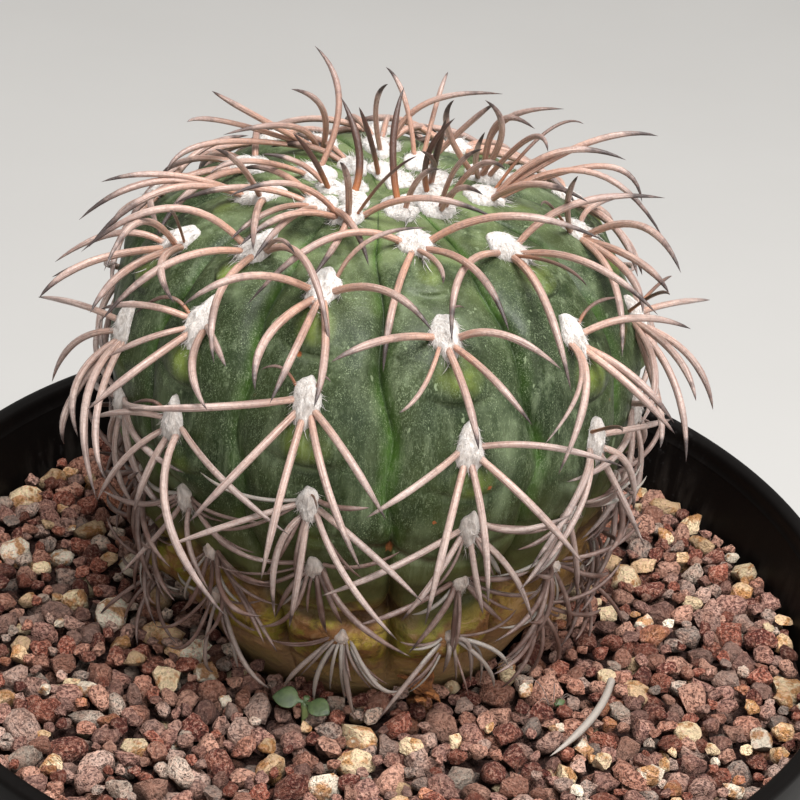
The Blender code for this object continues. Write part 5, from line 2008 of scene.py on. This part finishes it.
def papery_husk():
    material, tree, shader = finish("papery_husk")
    place = object_place(tree)
    cloud = mottle(tree, place, 460.0, 4.0, 0.65)
    colour = blended(tree, spread(tree, cloud, 0.38, 0.68), HUSK_BROWN, HUSK_PALE)
    tree.links.new(colour, shader.inputs["Base Color"])
    shader.inputs["Roughness"].default_value = 0.8
    raise_bumps(tree, shader, mottle(tree, place, 1500.0, 3.0), 0.0003)
    return material


def husk_petal(chance):
    """One curled scrap with torn edges, as a thin closed shell."""
    turn, lean = chance.uniform(0.0, 2 * math.pi), chance.uniform(-0.2, 1.1)
    out = Vector((math.cos(turn) * math.cos(lean), math.sin(turn) * math.cos(lean), math.sin(lean)))
    side = out.cross(Vector((0, 0, 1))).normalized()
    up = side.cross(out)
    length = HUSK_LENGTH * chance.uniform(0.6, 1.1)
    rows = []
    for share in np.linspace(0.0, 1.0, 8):
        half = HUSK_HALF_WIDTH * math.sin(math.pi * (0.15 + 0.8 * share)) * chance.uniform(0.75, 1.15)
        curl = up * (length * 0.42 * share**2 * (1 if lean < 0.5 else -1))
        middle = HUSK_PLACE + out * (length * share) + curl
        ring = []
        for step in range(10):
            angle = 2 * math.pi * step / 10
            wrinkle = 0.0003 * math.sin(9 * share + 2 * angle)
            lift = math.sin(angle) * HUSK_THICKNESS / 2 + wrinkle
            ring.append(tuple(middle + side * (math.cos(angle) * half) + up * lift))
        rows.append(ring)
    return skin_mesh("husk_petal", rows, (tuple(HUSK_PLACE), tuple(middle + out * 0.0003)))


def make_litter():
    chance = random.Random(LITTER_SEED)
    husk = joined("fallen_husk", [husk_petal(chance) for _ in range(HUSK_PETALS)])
    place_piece("fallen_husk", husk, papery_husk(), "dry_spine")
    rows = []
    for _ in range(ROOTLETS):
        turn = chance.uniform(0.0, 2 * math.pi)
        out = Vector((math.cos(turn), math.sin(turn), 0.0))
        length = chance.uniform(*ROOTLET_LENGTHS)
        root = ROOTLET_PLACE + out * 0.001
        tip = ROOTLET_PLACE + out * length + Vector((0.0, 0.0, chance.uniform(*ROOTLET_RISES)))
        line = bent_line(root, (root + tip) / 2 + ROOTLET_ARCH, tip)
        rows.append((line, ROOTLET_RADIUS, 0.0, ROOTLET_AGE))
    source = spine_lines("rootlets", rows, chance)
    mesh = grown_mesh("rootlets", source, SPINE_TREE, {"Material": SPINE_SKIN})
    mesh.shade_smooth()
    place_piece("rootlets", mesh, SPINE_SKIN, "dry_spine")
    leaf = seed_leaf(LONE_LEAF_TURN, LONE_LEAF_SIZE, LONE_LEAF_TILT, ROOTLET_PLACE + LONE_LEAF_SHIFT)
    leaf.shade_smooth()
    place_piece("lone_leaf", leaf, soft_leaf("soft_lone_leaf", GRAVEL_LEVEL), "seedling")


make_litter()

# Floor and light: a plain pale floor, a broad soft light high above, weaker ones low in front and on the
# right, and a pale sky all round.

FLOOR_REACH = 8.0
FLOOR_PALE = (0.42, 0.41, 0.395)
FLOOR_SHADE = (0.39, 0.38, 0.365)
SKY_COLOUR = (1.00, 0.985, 0.96)
SKY_STRENGTH = 0.46
LIT_PLACE = Vector((0.0, 0.0, 0.15))
STUDIO_LIGHTS = (
    ("high_soft_light", (0.22, -0.30, 1.28), 0.70, 33.5),
    ("front_soft_light", (0.25, -1.20, 0.50), 1.00, 7.6),
    ("side_soft_light", (1.15, -0.30, 0.45), 0.80, 3.4),
)


def make_floor():
    mesh = bpy.data.meshes.new("floor")
    corners = [(x * FLOOR_REACH, y * FLOOR_REACH, 0.0) for x, y in ((-1, -1), (1, -1), (1, 1), (-1, 1))]
    mesh.from_pydata(corners, [], [(0, 1, 2, 3)])
    material, tree, shader = finish("pale_floor")
    cloud = mottle(tree, object_place(tree), 9.0, 4.0)
    tree.links.new(blended(tree, cloud, FLOOR_PALE, FLOOR_SHADE), shader.inputs["Base Color"])
    shader.inputs["Roughness"].default_value = 0.85
    mesh.materials.append(material)
    floor = bpy.data.objects.new("floor", mesh)
    bpy.context.scene.collection.objects.link(floor)


def make_light():
    world = bpy.data.worlds.new("pale_sky")
    bpy.context.scene.world = world
    world.use_nodes = True
    sky = world.node_tree.nodes["Background"]
    sky.inputs["Color"].default_value = (*SKY_COLOUR, 1.0)
    sky.inputs["Strength"].default_value = SKY_STRENGTH
    bpy.context.scene.view_settings.view_transform = "Standard"
    for name, place, size, watts in STUDIO_LIGHTS:
        lamp = bpy.data.lights.new(name, "AREA")
        lamp.size = size
        lamp.energy = watts
        lit = bpy.data.objects.new(name, lamp)
        turn = (LIT_PLACE - Vector(place)).to_track_quat("-Z", "Y").to_matrix().to_4x4()
        lit.matrix_world = Matrix.Translation(place) @ turn
        bpy.context.scene.collection.objects.link(lit)


make_floor()
make_light()

# Camera: at the photograph's eye, with its angle of view. Both were worked out from the ellipse of the pot's
# rim, and the line of sight meets the middle of the picture.

SENSOR_WIDTH = 36.0


def make_camera():
    eye = bpy.data.cameras.new("camera")
    eye.sensor_width = SENSOR_WIDTH
    eye.lens = SENSOR_WIDTH * EYE_REACH / (2 * PICTURE_HALF)
    camera = bpy.data.objects.new("camera", eye)
    turn = Matrix((EYE_RIGHT, EYE_UP, -EYE_AHEAD)).transposed().to_4x4()
    camera.matrix_world = Matrix.Translation(EYE) @ turn
    bpy.context.scene.collection.objects.link(camera)
    bpy.context.scene.camera = camera


make_camera()

bpy.context.view_layer.update()
